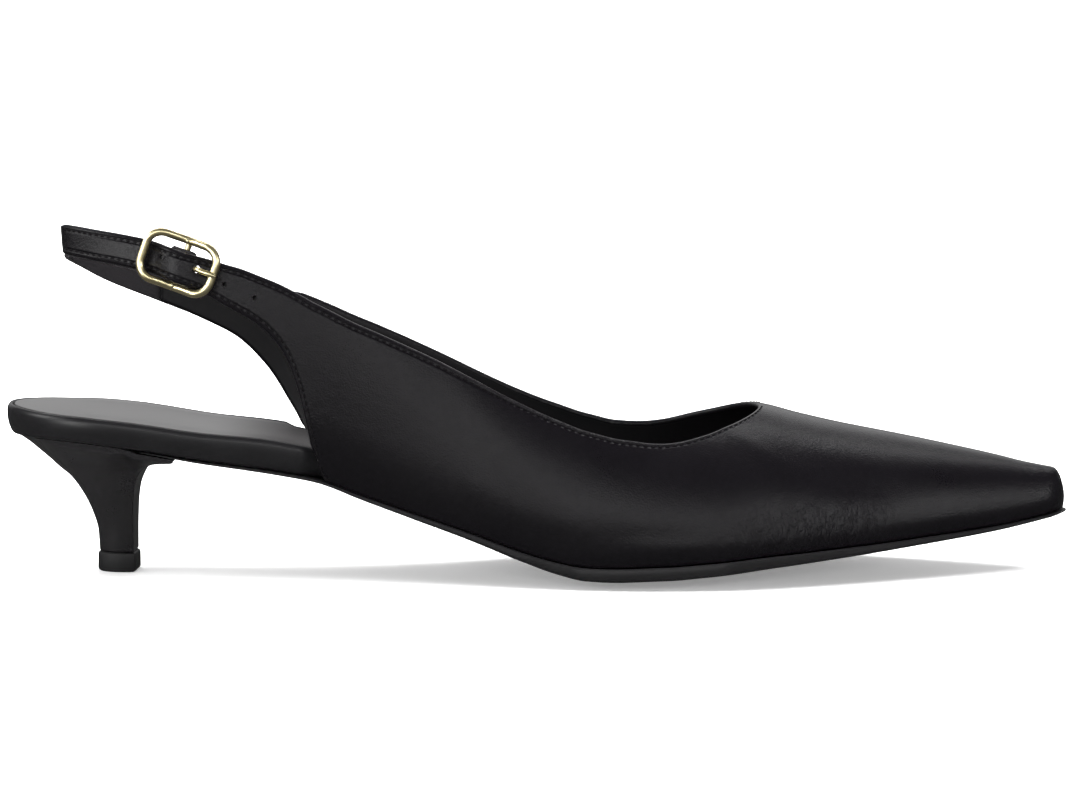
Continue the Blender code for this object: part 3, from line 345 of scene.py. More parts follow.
def upper_point(side, s, share):
    """A point of the upper's outside, by its share of the ridge's height."""
    ridge = ridge_height(s)
    z = seam(s) + crown(s) + ridge * share
    forward = smooth(s, SHOE_LENGTH - 2 * TOE_ROUND, SHOE_LENGTH)
    swell = min(1.0, share * ridge / (0.12 * INSTEP_HEIGHT))
    x = s - TOE_TUCK * forward * (1 - swell) ** 2
    wall = centre(s) + side * wall_y(side, s, share)
    lap = STRAP_THICKNESS / 2 + LAP_GAP
    offset = lap + WALL + tail_rise(s) if side < 0 else -lap
    turn = -side * math.acos(1 - min(1.0, max(0.0, (s - LOOP_BACK) / LOOP_LENGTH)))
    offset -= STRAP_LEAN * (z - strap_low(turn) - STRAP_WIDTH / 2)
    loop_x, loop_y = loop_point(side, s, offset)
    if side < 0:
        loop_x -= TAIL_FLARE * (1 - smooth(s, LOOP_BACK, LOOP_BACK + 0.022))
    blend = smooth(s, TIE_START, TIE_END)
    return Vector((loop_x + (x - loop_x) * blend, loop_y + (wall - loop_y) * blend, z))


def share_at(side, s, reach):
    """Share of the ridge's height where the wall stands at a given distance from the middle."""
    low, high = 0.2, 1.0
    for _ in range(30):
        share = (low + high) / 2
        if wall_y(side, s, share) > reach:
            low = share
        else:
            high = share
    return share


def throat_share(side, s):
    """Topline between the throat's start and its tip, moved out by the turned edge."""
    start = THROAT_START * SHOE_LENGTH
    full = THROAT_OUTER if side < 0 else THROAT_INNER
    first = (edge_of(side)[-1].top * STRAP_HEIGHT - crown(start)) / ridge_height(start)
    length = (THROAT_AT - THROAT_START) * SHOE_LENGTH + EDGE_ROUND
    t = min(1.0, (s - start) / length)
    reach = wall_y(side, start, first) * max(0.0, 1 - t ** THROAT_EASE) ** (1 / full)
    return share_at(side, s, reach + EDGE_ROUND * smooth(t, 0.0, 0.4) * round_end(1 - t, 0.1))


def spaced_angle(share):
    return math.asin(min(1.0, share) ** (SECTION_POWER / 2))


# Shaping with Blender's own tools

def begin():
    if bpy.context.object and bpy.context.object.mode != "OBJECT":
        bpy.ops.object.mode_set(mode="OBJECT")
    bpy.ops.object.select_all(action="DESELECT")


def hold(piece):
    begin()
    piece.select_set(True)
    bpy.context.view_layer.objects.active = piece


def settle(piece, name, material):
    """Give a finished piece its name, its place in its mesh and its finish."""
    hold(piece)
    piece.name = name
    piece.data.name = name
    bpy.ops.object.transform_apply(location=True, rotation=True, scale=True)
    if not piece.data.materials:
        piece.data.materials.append(material)


def modify(piece, kind, **settings):
    hold(piece)
    modifier = piece.modifiers.new(kind.lower(), kind)
    for key, value in settings.items():
        setattr(modifier, key, value)
    bpy.ops.object.modifier_apply(modifier=modifier.name)


def edit(piece, *steps, picked="ALL"):
    """Run edit mode operators, each given as a call without arguments."""
    hold(piece)
    bpy.ops.object.mode_set(mode="EDIT")
    bpy.ops.mesh.select_mode(type="VERT")
    bpy.ops.mesh.select_all(action="SELECT" if picked == "ALL" else "DESELECT")
    for step in steps:
        step()
    bpy.ops.object.mode_set(mode="OBJECT")


def weld(distance=0.00001):
    return lambda: bpy.ops.mesh.remove_doubles(threshold=distance)


def outward():
    bpy.ops.mesh.normals_make_consistent(inside=False)


def laid(rows, welded=True):
    """A grid primitive whose points are laid on rows of places."""
    begin()
    along, over = len(rows) - 1, len(rows[0]) - 1
    bpy.ops.mesh.primitive_grid_add(x_subdivisions=along, y_subdivisions=over, size=1.0)
    piece = bpy.context.object
    for vert in piece.data.vertices:
        i = round((vert.co.x + 0.5) * along)
        j = round((vert.co.y + 0.5) * over)
        vert.co = rows[i][j]
    if welded:
        edit(piece, weld())
    return piece


def closed(rings, ends=True):
    """A grid primitive wrapped round rings, its open ends filled."""
    piece = laid([list(ring) + [ring[0]] for ring in rings])
    if ends:
        edit(piece, lambda: bpy.ops.mesh.select_non_manifold(
            extend=False, use_wire=False, use_multi_face=False, use_non_contiguous=False,
            use_verts=False), lambda: bpy.ops.mesh.edge_face_add(), picked="NONE")
    edit(piece, outward)
    return piece


def joined(pieces):
    begin()
    for piece in pieces:
        piece.select_set(True)
    bpy.context.view_layer.objects.active = pieces[0]
    bpy.ops.object.join()
    return pieces[0]


def soften(piece, degrees=40):
    hold(piece)
    bpy.ops.object.shade_smooth_by_angle(angle=math.radians(degrees))


def carve(piece, cutter):
    modify(piece, "BOOLEAN", operation="DIFFERENCE", solver="EXACT", object=cutter)
    bpy.data.objects.remove(cutter, do_unlink=True)


def placed(points):
    return [point + PLACE for point in points]


def dress(piece, name, finish, node, degrees=40):
    """Settle and smooth a piece, and say what it rides on, stands in for and is made of."""
    settle(piece, name, finish)
    soften(piece, degrees)
    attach(piece, "root")
    if node:
        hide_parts(node)


# Finishes

class Link:
    """A socket that takes part in Python sums, and the sheet of nodes it is on."""

    def __init__(self, tree, socket=None):
        self.tree = tree
        self.socket = socket

    def node(self, kind, settings=None, sockets=None, out=0):
        """Any node: its settings first, then values or links of its sockets."""
        made = self.tree.nodes.new("ShaderNode" + kind)
        for key, value in (settings or {}).items():
            setattr(made, key, value)
        for key, value in (sockets or {}).items():
            if isinstance(value, Link):
                self.tree.links.new(value.socket, made.inputs[key])
            else:
                made.inputs[key].default_value = value
        return Link(self.tree, made.outputs[out])

    def math(self, operation, *others):
        return self.node("Math", {"operation": operation}, dict(enumerate(others)))

    def __add__(self, other):
        return self.math("ADD", self, other)

    def __radd__(self, other):
        return self.math("ADD", other, self)

    def __sub__(self, other):
        return self.math("SUBTRACT", self, other)

    def __rsub__(self, other):
        return self.math("SUBTRACT", other, self)

    def __mul__(self, other):
        return self.math("MULTIPLY", self, other)

    def __rmul__(self, other):
        return self.math("MULTIPLY", other, self)

    def between(self, low, high):
        """0 below low and 1 above high, with a soft step."""
        return self.node("MapRange", {"interpolation_type": "SMOOTHSTEP", "clamp": True},
                         {"Value": self, "From Min": low, "From Max": high})

    def tint(self, dark, light):
        return self.node("Mix", {"data_type": "RGBA"},
                         {0: self, 6: (*dark, 1.0), 7: (*light, 1.0)}, 2)


def new_finish(name, slot_colour=(0.02, 0.02, 0.02)):
    material = bpy.data.materials.new(name)
    material.use_nodes = True
    material.diffuse_color = (*slot_colour, 1.0)
    coords = Link(material.node_tree).node("TexCoord", out=3)
    return material, coords, material.node_tree.nodes["Principled BSDF"]


def feed(material, shader, **sockets):
    for key, value in sockets.items():
        socket = shader.inputs[key.replace("_", " ")]
        if isinstance(value, Link):
            material.node_tree.links.new(value.socket, socket)
        else:
            socket.default_value = value


def noise(coords, scale, detail=2.0, rough=0.5):
    return coords.node("TexNoise", None, {"Vector": coords, "Scale": scale, "Detail": detail,
                                          "Roughness": rough})


def pebbles(coords, scale, amount=0.8):
    return coords.node("TexVoronoi", {"feature": "SMOOTH_F1"},
                       {"Vector": coords, "Scale": scale, "Smoothness": amount})


def bump(height, strength, distance, under=None):
    sockets = {"Height": height, "Strength": strength, "Distance": distance}
    if under:
        sockets["Normal"] = under
    return height.node("Bump", None, sockets)


def leather_finish(name, dark, light, rough, grain, folds=True):
    """Smooth calf: fine closed grain, faint folds at the flex, a groove under the stitches, and a
    painted highlight that lightens and glosses the turned edges.
    """
    material, coords, shader = new_finish(name)
    cells = pebbles(coords, 2800.0)
    fine = noise(coords, 6000.0, 3.0, 0.6)
    broad = noise(coords, 55.0, 3.0, 0.55)
    hide = noise(coords, 420.0, 2.0, 0.5)
    normal = bump(cells * 0.9 + fine * 0.35 + hide * 0.5, grain, GRAIN_DEPTH)
    if folds:
        stretched = coords.node("Mapping", None, {"Vector": coords, "Rotation": (0.0, 0.6, 0.0),
                                                  "Scale": (1.0, 0.5, 0.42)})
        creases = noise(stretched, 900.0, 3.0, 0.65).between(0.40, 0.58)
        place = coords.node("SeparateXYZ", None, {"Vector": coords}, 0)
        height = coords.node("SeparateXYZ", None, {"Vector": coords}, 2)
        flex = place.between(0.036, 0.056) * (1.0 - place.between(0.076, 0.094))
        flex = flex * height.between(0.005, 0.010) * (1.0 - height.between(0.016, 0.024))
        normal = bump(creases * flex, 0.7, FOLD_DEPTH, normal)
    edge = coords.node("Attribute", {"attribute_name": "edge"}, out=2)
    offset = edge - STITCH_INSET
    normal = bump(offset.math("ABSOLUTE", offset).between(0.0002, 0.0007), 0.8, GROOVE_DEPTH, normal)
    # Painted highlight: within 0.9 mm of the turned edges the colour is blended towards a pale tone,
    # where the rolled rim catches light.
    rim_highlight = 1.0 - edge.between(0.0, 0.0009)
    colour = rim_highlight.node("Mix", {"data_type": "RGBA"},
                       {0: rim_highlight * 0.6, 6: (broad * 0.7 + hide * 0.3).tint(dark, light),
                        7: RIM_HIGHLIGHT_COLOUR}, 2)
    feed(material, shader, Base_Color=colour,
         Roughness=rough + (broad - 0.5) * 0.10 + (cells - 0.5) * 0.06 - rim_highlight * 0.08,
         Normal=normal)
    shader.inputs["Specular IOR Level"].default_value = 0.24
    return material


def satin_finish(name, dark, light, rough, grain, coat=0.0, scale=2600.0, specular=0.28):
    """Smooth covered part: very fine grain under a satin surface."""
    material, coords, shader = new_finish(name)
    cells = noise(coords, scale, 3.0, 0.6)
    broad = noise(coords, 80.0, 3.0, 0.5)
    feed(material, shader, Base_Color=broad.tint(dark, light),
         Roughness=rough + (broad - 0.5) * 0.14 + (cells - 0.5) * 0.06,
         Normal=bump(cells, grain, 0.00005))
    shader.inputs["Coat Weight"].default_value = coat
    shader.inputs["Coat Roughness"].default_value = 0.25
    shader.inputs["Specular IOR Level"].default_value = specular
    return material


def shade_sock(material):
    """The sock dulls towards the front, where the quarters close round it."""
    coords = Link(material.node_tree).node("TexCoord", out=3)
    front = coords.node("SeparateXYZ", None, {"Vector": coords}, 0).between(-0.083, -0.052)
    shader = material.node_tree.nodes["Principled BSDF"]
    feed(material, shader, Roughness=0.33 + front * 0.42, Coat_Weight=0.15 - front * 0.15)


def gold_finish():
    """Polished pale gold plate with faint hairlines."""
    material, coords, shader = new_finish("pale_gold", (0.83, 0.7, 0.45))
    hair = noise(coords.node("Mapping", None, {"Vector": coords, "Rotation": (0.2, 0.3, 0.5),
                                               "Scale": (1.0, 9.0, 9.0)}), 500.0, 3.0, 0.6)
    broad = noise(coords, 240.0, 2.0, 0.5)
    feed(material, shader, Base_Color=broad.tint((0.88, 0.76, 0.42), (0.96, 0.86, 0.54)),
         Roughness=0.24 + hair * 0.10 + broad * 0.05, Metallic=1.0,
         Normal=bump(hair, 0.10, 0.00003))
    return material


def floor_finish():
    material, coords, shader = new_finish("studio_floor", (0.9, 0.9, 0.9))
    paper = noise(coords, 900.0, 2.0, 0.5)
    feed(material, shader, Base_Color=paper.tint((0.86, 0.86, 0.86), (0.90, 0.90, 0.90)),
         Roughness=0.9)
    shader.inputs["Specular IOR Level"].default_value = 0.1
    shader.inputs["Emission Color"].default_value = (1.0, 1.0, 1.0, 1.0)
    shader.inputs["Emission Strength"].default_value = 0.26
    return material


STITCH_PITCH = 0.0018
STITCH_INSET = 0.0014
STITCH_LENGTH = 0.0013
STITCH_WIDTH = 0.00054
STITCH_HEIGHT = 0.00032
STITCH_RISE = 0.00002
GRAIN_DEPTH = 0.00010
FOLD_DEPTH = 0.00018
GROOVE_DEPTH = 0.00022
# Pale colour of the painted highlight along the upper's turned edges
RIM_HIGHLIGHT_COLOUR = (0.028, 0.026, 0.028, 1.0)

leather = leather_finish("black_calf", (0.0018, 0.0015, 0.0021), (0.0030, 0.0025, 0.0035),
                         0.31, 0.70)
strap_leather = leather_finish("black_strap_calf", (0.0022, 0.0018, 0.0025),
                               (0.0036, 0.0030, 0.0041), 0.32, 0.60, folds=False)
lining = satin_finish("black_lining", (0.0065, 0.0062, 0.0068), (0.0110, 0.0105, 0.0115), 0.50, 0.5)
sock_finish = satin_finish("grey_satin_sock", (0.018, 0.017, 0.018), (0.026, 0.025, 0.025),
                           0.34, 0.35, 0.15)
rand_finish = satin_finish("black_rand", (0.0042, 0.0040, 0.0046), (0.0066, 0.0063, 0.0071),
                           0.36, 0.25)
cover_finish = satin_finish("black_heel_cover", (0.0070, 0.0066, 0.0072), (0.0105, 0.0100, 0.0108),
                            0.30, 0.25, 0.1)
sole_finish = satin_finish("black_outsole", (0.0052, 0.0050, 0.0055), (0.0082, 0.0079, 0.0086),
                           0.46, 0.5)
rubber = satin_finish("black_rubber", (0.0060, 0.0058, 0.0063), (0.0098, 0.0095, 0.0102),
                      0.58, 0.6, scale=1500.0)
thread = satin_finish("black_thread", (0.0025, 0.0023, 0.0026), (0.0050, 0.0046, 0.0052),
                      0.60, 0.6, scale=6000.0, specular=0.06)
gold = gold_finish()
shade_sock(sock_finish)


# Upper

def crease_depth(side, s, share):
    """How far the creases press a point of the upper in."""
    total = 0.0
    for crease in CREASES:
        if crease.side != side:
            continue
        along = s - crease.at
        if abs(along) > 3 * crease.long:
            continue
        up = (share - crease.share) * ridge_height(crease.at) * 1.2
        turn = math.radians(crease.way)
        a = along * math.cos(turn) + up * math.sin(turn)
        b = up * math.cos(turn) - along * math.sin(turn)
        total += crease.deep * math.exp(-(a / crease.long) ** 2 - (b / crease.wide) ** 2)
    return total


def row_shares(top_share, low_share, count=24):
    low_turn, top_turn = spaced_angle(low_share), spaced_angle(top_share)
    return [math.sin(low_turn + (top_turn - low_turn) * j / count) ** (2 / SECTION_POWER)
            for j in range(count + 1)]


def laid_row(side, top_at, top_share, low_at, low_share, trim_low, trim_top):
    """One row of the outside from its lower to its upper end, evenly spaced, ends trimmed."""
    shares = row_shares(top_share, low_share)
    steps = len(shares) - 1
    places = [(low_at + (top_at - low_at) * j / steps, share) for j, share in enumerate(shares)]
    points = [upper_point(side, s, share) for s, share in places]
    lengths = runs(points)
    whole = lengths[-1]
    first = min(trim_low, whole * 0.3)
    last = whole - min(trim_top, whole * 0.3)
    row = []
    k = 0
    for j in range(UPPER_STEPS + 1):
        t = j / UPPER_STEPS
        t -= 0.55 * math.sin(2 * math.pi * t) / (2 * math.pi)
        target = first + (last - first) * t
        while k < steps - 1 and lengths[k + 1] < target:
            k += 1
        part = (target - lengths[k]) / max(1e-9, lengths[k + 1] - lengths[k])
        s = places[k][0] + (places[k + 1][0] - places[k][0]) * part
        share = places[k][1] + (places[k + 1][1] - places[k][1]) * part
        share = min(1.0, max(0.0, share))
        row.append((upper_point(side, s, share), s, share))
    return row


def quarter_part(side):
    """Rows of a quarter, between the two lines of its edge table."""
    edge = edge_of(side)
    Place = namedtuple("Place", ("place",) + EdgeRow._fields)
    table = [Place(k, *row) for k, row in enumerate(edge)]
    start = EDGE_ROUND / ((edge[1].top_at - edge[0].top_at) * SHOE_LENGTH)
    rows = []
    for k in range(QUARTER_STEPS * (len(edge) - 1)):
        place = k / QUARTER_STEPS
        if place < 1:
            place = start + (1 - start) * place
        top_at, top, low_at, low = (
            between(table, "place", name, place) * scale
            for name, scale in zip(EdgeRow._fields, (SHOE_LENGTH, STRAP_HEIGHT) * 2))
        top_share = (top - crown(top_at)) / ridge_height(top_at)
        low_share = max(0.0, low - crown(low_at) * min(1.0, low / TUCK)) / ridge_height(low_at)
        trim_low = EDGE_ROUND * smooth(low, 0.0, 0.008)
        rows.append(laid_row(side, top_at, top_share, low_at, low_share, trim_low, EDGE_ROUND))
    return rows


def vamp_part(side):
    """Rows of the vamp, up to the throat's line and then to the ridge."""
    start = THROAT_START * SHOE_LENGTH
    throat = THROAT_AT * SHOE_LENGTH + EDGE_ROUND
    turn = TOE_AT * SHOE_LENGTH
    stations = [start + (throat - start) * math.sin(math.pi / 2 * k / THROAT_ROWS)
                for k in range(THROAT_ROWS)]
    stations += [throat + (turn - throat) * k / VAMP_ROWS for k in range(VAMP_ROWS)]
    stations += [turn + (SHOE_LENGTH - turn) * math.sin(math.pi / 2 * k / TOE_ROWS)
                 for k in range(TOE_ROWS + 1)]
    rows = []
    for s in stations:
        top = throat_share(side, s) if s < throat else 1.0
        trim = EDGE_ROUND * (1 - smooth(s, start, start + 0.4 * (throat - start)))
        rows.append(laid_row(side, s, top, s, 0.0, 0.0, trim))
    return rows


def row_normals(side, rows):
    """Outward normals of the laid rows."""
    normals = []
    for i, row in enumerate(rows):
        before, after = rows[max(0, i - 1)], rows[min(len(rows) - 1, i + 1)]
        line = []
        for j in range(len(row)):
            way = after[j][0] - before[j][0]
            up = row[min(len(row) - 1, j + 1)][0] - row[max(0, j - 1)][0]
            normal = way.cross(up) * -side
            line.append(normal.normalized() if normal.length > 1e-12 else Vector((1, 0, 0)))
        normals.append(line)
    return normals


def build_upper():
    """Both halves of the outside on grids, joined on the ridge, given a wall and turned edges."""
    halves = []
    lines = {}
    for side in (-1, 1):
        rows = quarter_part(side) + vamp_part(side)
        normals = row_normals(side, rows)
        points = [[place - normal * crease_depth(side, s, share)
                   for (place, s, share), normal in zip(row, line)]
                  for row, line in zip(rows, normals)]
        lines[side] = (points, normals, rows)
        half = laid([placed(row[::-side]) for row in points], welded=False)
        store_edges(half, side, points, rows)
        halves.append(half)
    upper = joined(halves)
    edit(upper, weld(0.00002))
    for finish in (leather, lining, leather):
        upper.data.materials.append(finish)
    modify(upper, "SOLIDIFY", thickness=WALL, offset=-1.0, use_even_offset=False, use_rim=True,
           material_offset=1, material_offset_rim=2)
    turn_edges(upper)
    return upper, lines


def store_edges(half, side, points, rows):
    """Distance from the nearest turned edge, for the stitched line and the painted highlight along
    the rim.
    """
    throat = THROAT_AT * SHOE_LENGTH + EDGE_ROUND
    quarter = QUARTER_STEPS * (len(edge_of(side)) - 1)
    values = []
    for i, row in enumerate(points):
        lengths = runs(row)
        line = []
        for j, point in enumerate(row):
            s = rows[i][j][1]
            top = lengths[-1] - lengths[j]
            if s >= throat:
                top = math.hypot(s - throat, point.y - centre(s))
            low = lengths[j] if rows[i][0][2] > 0.0 else 1.0
            back = (point - points[0][j]).length if i < quarter else 1.0
            line.append(min(top, low, back) + EDGE_ROUND)
        values.append(line[::-side])
    edge = half.data.attributes.new("edge", "FLOAT", "POINT")
    for index, item in enumerate(edge.data):
        item.value = values[index % len(points)][index // len(points)]


def turn_edges(upper):
    """Round the rim between outside and lining into a turned edge."""
    mesh = upper.data
    ways = {}
    use = {}
    for face in mesh.polygons:
        if face.material_index == 2:
            for vert in face.vertices:
                ways[vert] = ways.get(vert, Vector()) + face.normal
            for key in face.edge_keys:
                use[key] = use.get(key, 0) + 1
    hold(upper)
    bpy.context.tool_settings.mesh_select_mode = (False, True, False)
    for item in (*mesh.vertices, *mesh.polygons):
        item.select = False
    pairs = []
    for edge in mesh.edges:
        edge.select = use.get(edge.key, 0) == 2
        if edge.select:
            a, b = edge.vertices
            way = (ways[a] + ways[b]).normalized()
            pairs.append((mesh.vertices[a].co.copy(), mesh.vertices[b].co.copy(), way))
    old = len(mesh.vertices)
    bpy.ops.object.mode_set(mode="EDIT")
    bpy.ops.mesh.subdivide(number_cuts=3)
    bpy.ops.object.mode_set(mode="OBJECT")
    new = mesh.vertices[old:]
    tree = KDTree(len(new))
    for k, vert in enumerate(new):
        tree.insert(vert.co, k)
    tree.balance()
    for a, b, way in pairs:
        middle = (a + b) / 2
        height = middle.z - seam(min(SHOE_LENGTH, max(0.0, middle.x - PLACE.x)))
        swell = EDGE_ROUND * smooth(height, 0.0050, 0.0085)
        found = [tree.find(a.lerp(b, k / 4))[1] for k in (1, 2, 3)]
        for k, index in enumerate(found, 1):
            turn = math.pi * k / 4
            new[index].co = (middle + (a - middle) * math.cos(turn)
                             + way * swell * math.sin(turn))
    for face in mesh.polygons:
        face.material_index = 1 if face.material_index == 1 else 0
    mesh.materials.pop(index=2)


def inward(points, normals):
    """Where a row's stitch stands: a fixed way in from its first point."""
    lengths = runs(points)
    inset = STITCH_INSET - EDGE_ROUND
    for k in range(len(points) - 1):
        if lengths[k + 1] >= inset:
            t = (inset - lengths[k]) / (lengths[k + 1] - lengths[k])
            return points[k].lerp(points[k + 1], t), normals[k].lerp(normals[k + 1], t).normalized()
    return points[-1], normals[-1]


def edge_paths(lines):
    """Stitch lines along the upper's turned edges, as places and normals."""
    paths = []
    for side, (points, normals, rows) in lines.items():
        quarter = QUARTER_STEPS * (len(edge_of(side)) - 1)
        paths.append([inward(points[i][::-1], normals[i][::-1])
                      for i in range(1, quarter + THROAT_ROWS - 1)])
        paths.append([inward(points[i], normals[i])
                      for i in range(1, quarter) if rows[i][0][2] > 0.0])
        paths.append([(points[2][j], normals[2][j]) for j in range(4, len(points[0]) - 4)])
    return paths


def build_stitches(paths):
    """One rounded stitch, copied along every seam."""
    begin()
    bpy.ops.mesh.primitive_uv_sphere_add(segments=8, ring_count=6, radius=1.0)
    master = bpy.context.object
    copies = []
    for path in paths:
        gone = STITCH_PITCH / 2
        walked = 0.0
        for (a, normal), (b, _) in zip(path, path[1:]):
            step = (b - a).length
            while gone < walked + step and step > 0:
                t = (gone - walked) / step
                place = a.lerp(b, t) + PLACE
                way = (b - a).normalized()
                up = (normal - way * normal.dot(way)).normalized()
                side = up.cross(way)
                turn = Matrix((way * STITCH_LENGTH / 2, side * STITCH_WIDTH / 2,
                               up * STITCH_HEIGHT / 2)).transposed().to_4x4()
                turn.translation = place + up * STITCH_RISE
                copy = bpy.data.objects.new("stitch", master.data.copy())
                copy.data.transform(turn)
                bpy.context.collection.objects.link(copy)
                copies.append(copy)
                gone += STITCH_PITCH
            walked += step
    bpy.data.objects.remove(master, do_unlink=True)
    return joined(copies)


# Bottom

def edge_stations(start, end, middle_count, start_round, end_round, quarter=16):
    stations = [start + start_round * (1 - math.cos(math.pi / 2 * k / quarter))
                for k in range(quarter)]
    first, last = start + start_round, end - end_round
    stations += [first + (last - first) * k / middle_count for k in range(middle_count)]
    stations += [last + end_round * math.sin(math.pi / 2 * k / quarter)
                 for k in range(quarter + 1)]
    return stations


def outline_points(side, stations):
    points = [Vector((s, centre(s) + side * half_width(side, s))) for s in stations]
    normals = []
    for k in range(len(points)):
        way = points[min(len(points) - 1, k + 1)] - points[max(0, k - 1)]
        normals.append(Vector((-way.y, way.x)).normalized() * side)
    if half_width(side, stations[0]) < 0.0001:
        normals[0] = Vector((-1, 0))
    if half_width(side, stations[-1]) < 0.0001:
        normals[-1] = Vector((1, 0))
    return points, normals


def slab_rings(stations, top, bottom, edge, inset=None, steps=14):
    """Rings round a plate on the last's outline. Edge rows are (inset, share of height)."""
    extra = inset or (lambda side, s: 0.0)
    sides = {}
    for side in (-1, 1):
        points, normals = outline_points(side, stations)
        sides[side] = [[point - normal * (step + extra(side, s)) for step, _ in edge]
                       for point, normal, s in zip(points, normals, stations)]

    def level(flat, height):
        low, high = bottom(flat.x, flat.y), top(flat.x, flat.y)
        return Vector((flat.x, flat.y, low + (high - low) * height))

    heights = [height for _, height in edge]
    rings = []
    for outer, inner in zip(sides[-1], sides[1]):
        ring = [level(inner[0].lerp(outer[0], k / steps), 0.0) for k in range(steps)]
        ring += map(level, outer, heights)
        ring += [level(outer[-1].lerp(inner[-1], k / steps), 1.0) for k in range(1, steps)]
        ring += map(level, inner[::-1], heights[::-1])
        rings.append(placed(ring[:-1]))
    return rings


def insole_inset(side, s):
    foot = min(row.low_at for row in edge_of(side) if row.low == 0.0) * SHOE_LENGTH
    return (WALL + FOOT_STEP) * smooth(s, foot - FOOT_FROM, foot - FOOT_TO)


def insole_top(s, y):
    dish = DISH * smooth(s, 0.0, SEAT_ROUND)
    return seam_at(s, y) + bed_height(s) - dish * (1 - across(s, y) ** 2)


def build_insole():
    side = ((RAND_LEAN, 0.0), (0.0009, 0.10), (0.0004, 0.30), (0.0001, 0.52), (0.0, 0.70),
            (0.00003, 0.90), (0.0002, 1.02))
    rim = ((0.0005, RIM - 0.04), (0.0008, RIM), (RAND_ROUND, RIM), (0.0013, RIM - 0.04),
           (SOCK_INSET - GAP, 1.0))
    stations = edge_stations(0.0, SHOE_LENGTH, 90, SEAT_ROUND, TOE_ROUND)
    return closed(slab_rings(stations, insole_top, seam_at, side + rim, insole_inset),
                  ends=False)


def build_sock():
    stations = edge_stations(0.0, SHOE_LENGTH, 90, SEAT_ROUND, TOE_ROUND)
    stations = [s for s in stations if s < SOCK_LENGTH - 0.003] + [SOCK_LENGTH]
    low = lambda s, y: insole_top(s, y) + GAP
    high = lambda s, y: insole_top(s, y) + GAP + SOCK_THICKNESS
    edge = ((0.0, 0.0), (0.0, 0.55), (0.00015, 0.88), (0.0005, 1.0))
    inset = lambda side, s: insole_inset(side, s) + SOCK_INSET
    return closed(slab_rings(stations, high, low, edge, inset))


def build_outsole():
    stations = [SOLE_START + k * 0.002 for k in range(27)]
    forward = stations[-1] + 0.002
    stations += [forward + (SHOE_LENGTH - TOE_ROUND - forward) * k / 70 for k in range(70)]
    stations += [SHOE_LENGTH - TOE_ROUND + TOE_ROUND * math.sin(math.pi / 2 * k / 14)
                 for k in range(15)]
    top = lambda s, y: seam_at(s, y) - GAP
    low = lambda s, y: max(0.0, seam_at(s, y) - sole_depth(s))
    edge = ((0.0009, 0.0), (0.0003, 0.08), (0.0, 0.22), (-SOLE_EDGE, 0.40), (-SOLE_EDGE, 0.86),
            (0.0, 1.0))
    lean = lambda side, s: RAND_LEAN * (1 - smooth(s, TIE_START, TIE_END))
    return closed(slab_rings(stations, top, low, edge, lean))


def underside(s, y):
    step = smooth(s, SOLE_START - 0.004, SOLE_START - 0.0005)
    return seam_at(s, y) - GAP - (sole_depth(s) + GAP) * step


def heel_side(back, front, half, count):
    """Half of a heel section: an arc from the back, then the near straight side to the breast."""
    widest = back + 0.68 * (front - back)
    arc = 0.75
    points = []
    for k in range(count + 1):
        t = k / count
        if t < arc:
            turn = t / arc * math.pi / 2
            points.append((widest - (widest - back) * math.cos(turn), half * math.sin(turn)))
        else:
            ease = (t - arc) / (1 - arc)
            narrow = half * (1 - (1 - BREAST_SHARE) * ease * ease)
            points.append((widest + (front - widest) * ease, narrow))
    return points


def turned(x, y, middle, angle, z):
    """A point of a heel section, turned about the stem's middle."""
    flat = Vector((x, y)) - middle
    flat.rotate(Matrix.Rotation(angle, 2))
    return Vector((middle.x + flat.x, flat.y, z))


def breast_ring(side, steps, corner=0.0006):
    """Closed ring of a heel section, with the breast's two corners eased."""
    ring = [(x, -y) for x, y in side[:-1]]
    x, y = side[-1]
    before = side[-2]
    ease = min(corner, (x - before[0]) * 0.9)
    ring += [(x - ease, -y), (x - 0.3 * ease, -y + 0.3 * ease), (x, -y + ease)]
    for k in range(1, steps):
        ring.append((x, (-y + ease) + 2 * (y - ease) * k / steps))
    ring += [(x, y - ease), (x - 0.3 * ease, y - 0.3 * ease), (x - ease, y)]
    ring += [(px, py) for px, py in reversed(side[:-1])][:-1]
    return ring


def build_heel():
    count, steps = 40, 12
    stem_back = TOP_PIECE_BACK + TOP_PIECE_LIP
    stem_front = TOP_PIECE_BACK + TOP_PIECE_LENGTH - TOP_PIECE_LIP
    stem_half = TOP_PIECE_WIDTH / 2 - TOP_PIECE_LIP
    seat_half = SEAT_WIDTH / 2 - HEEL_INSET
    stem_top = TOP_PIECE_HEIGHT + GAP
    middle = Vector(((stem_back + stem_front) / 2, 0.0))
    rings = []
    levels = 6 * (len(HEEL) - 1)
    for level in range(levels + 1):
        row = {name: between(HEEL, "level", name, level / 6)
               for name in ("back_down", "back_in", "front_down", "front_in", "narrow")}
        back = HEEL_INSET + (stem_back - HEEL_INSET) * row["back_in"]
        front = HEEL_LIP_AT + (stem_front - HEEL_LIP_AT) * row["front_in"]
        half = seat_half + (stem_half - seat_half) * row["narrow"]
        ring = []
        for x, y in breast_ring(heel_side(back, front, half, count), steps):
            t = (x - back) / (front - back)
            down = row["back_down"] + (row["front_down"] - row["back_down"]) * t
            top = underside(x, y) - HEEL_LIP * smooth(row["narrow"], 0.0, 0.05) * t
            ring.append(turned(x, y, middle, HEEL_TURN * row["narrow"],
                               top + (stem_top - top) * down))
        rings.append(placed(ring))
    return closed(rings)


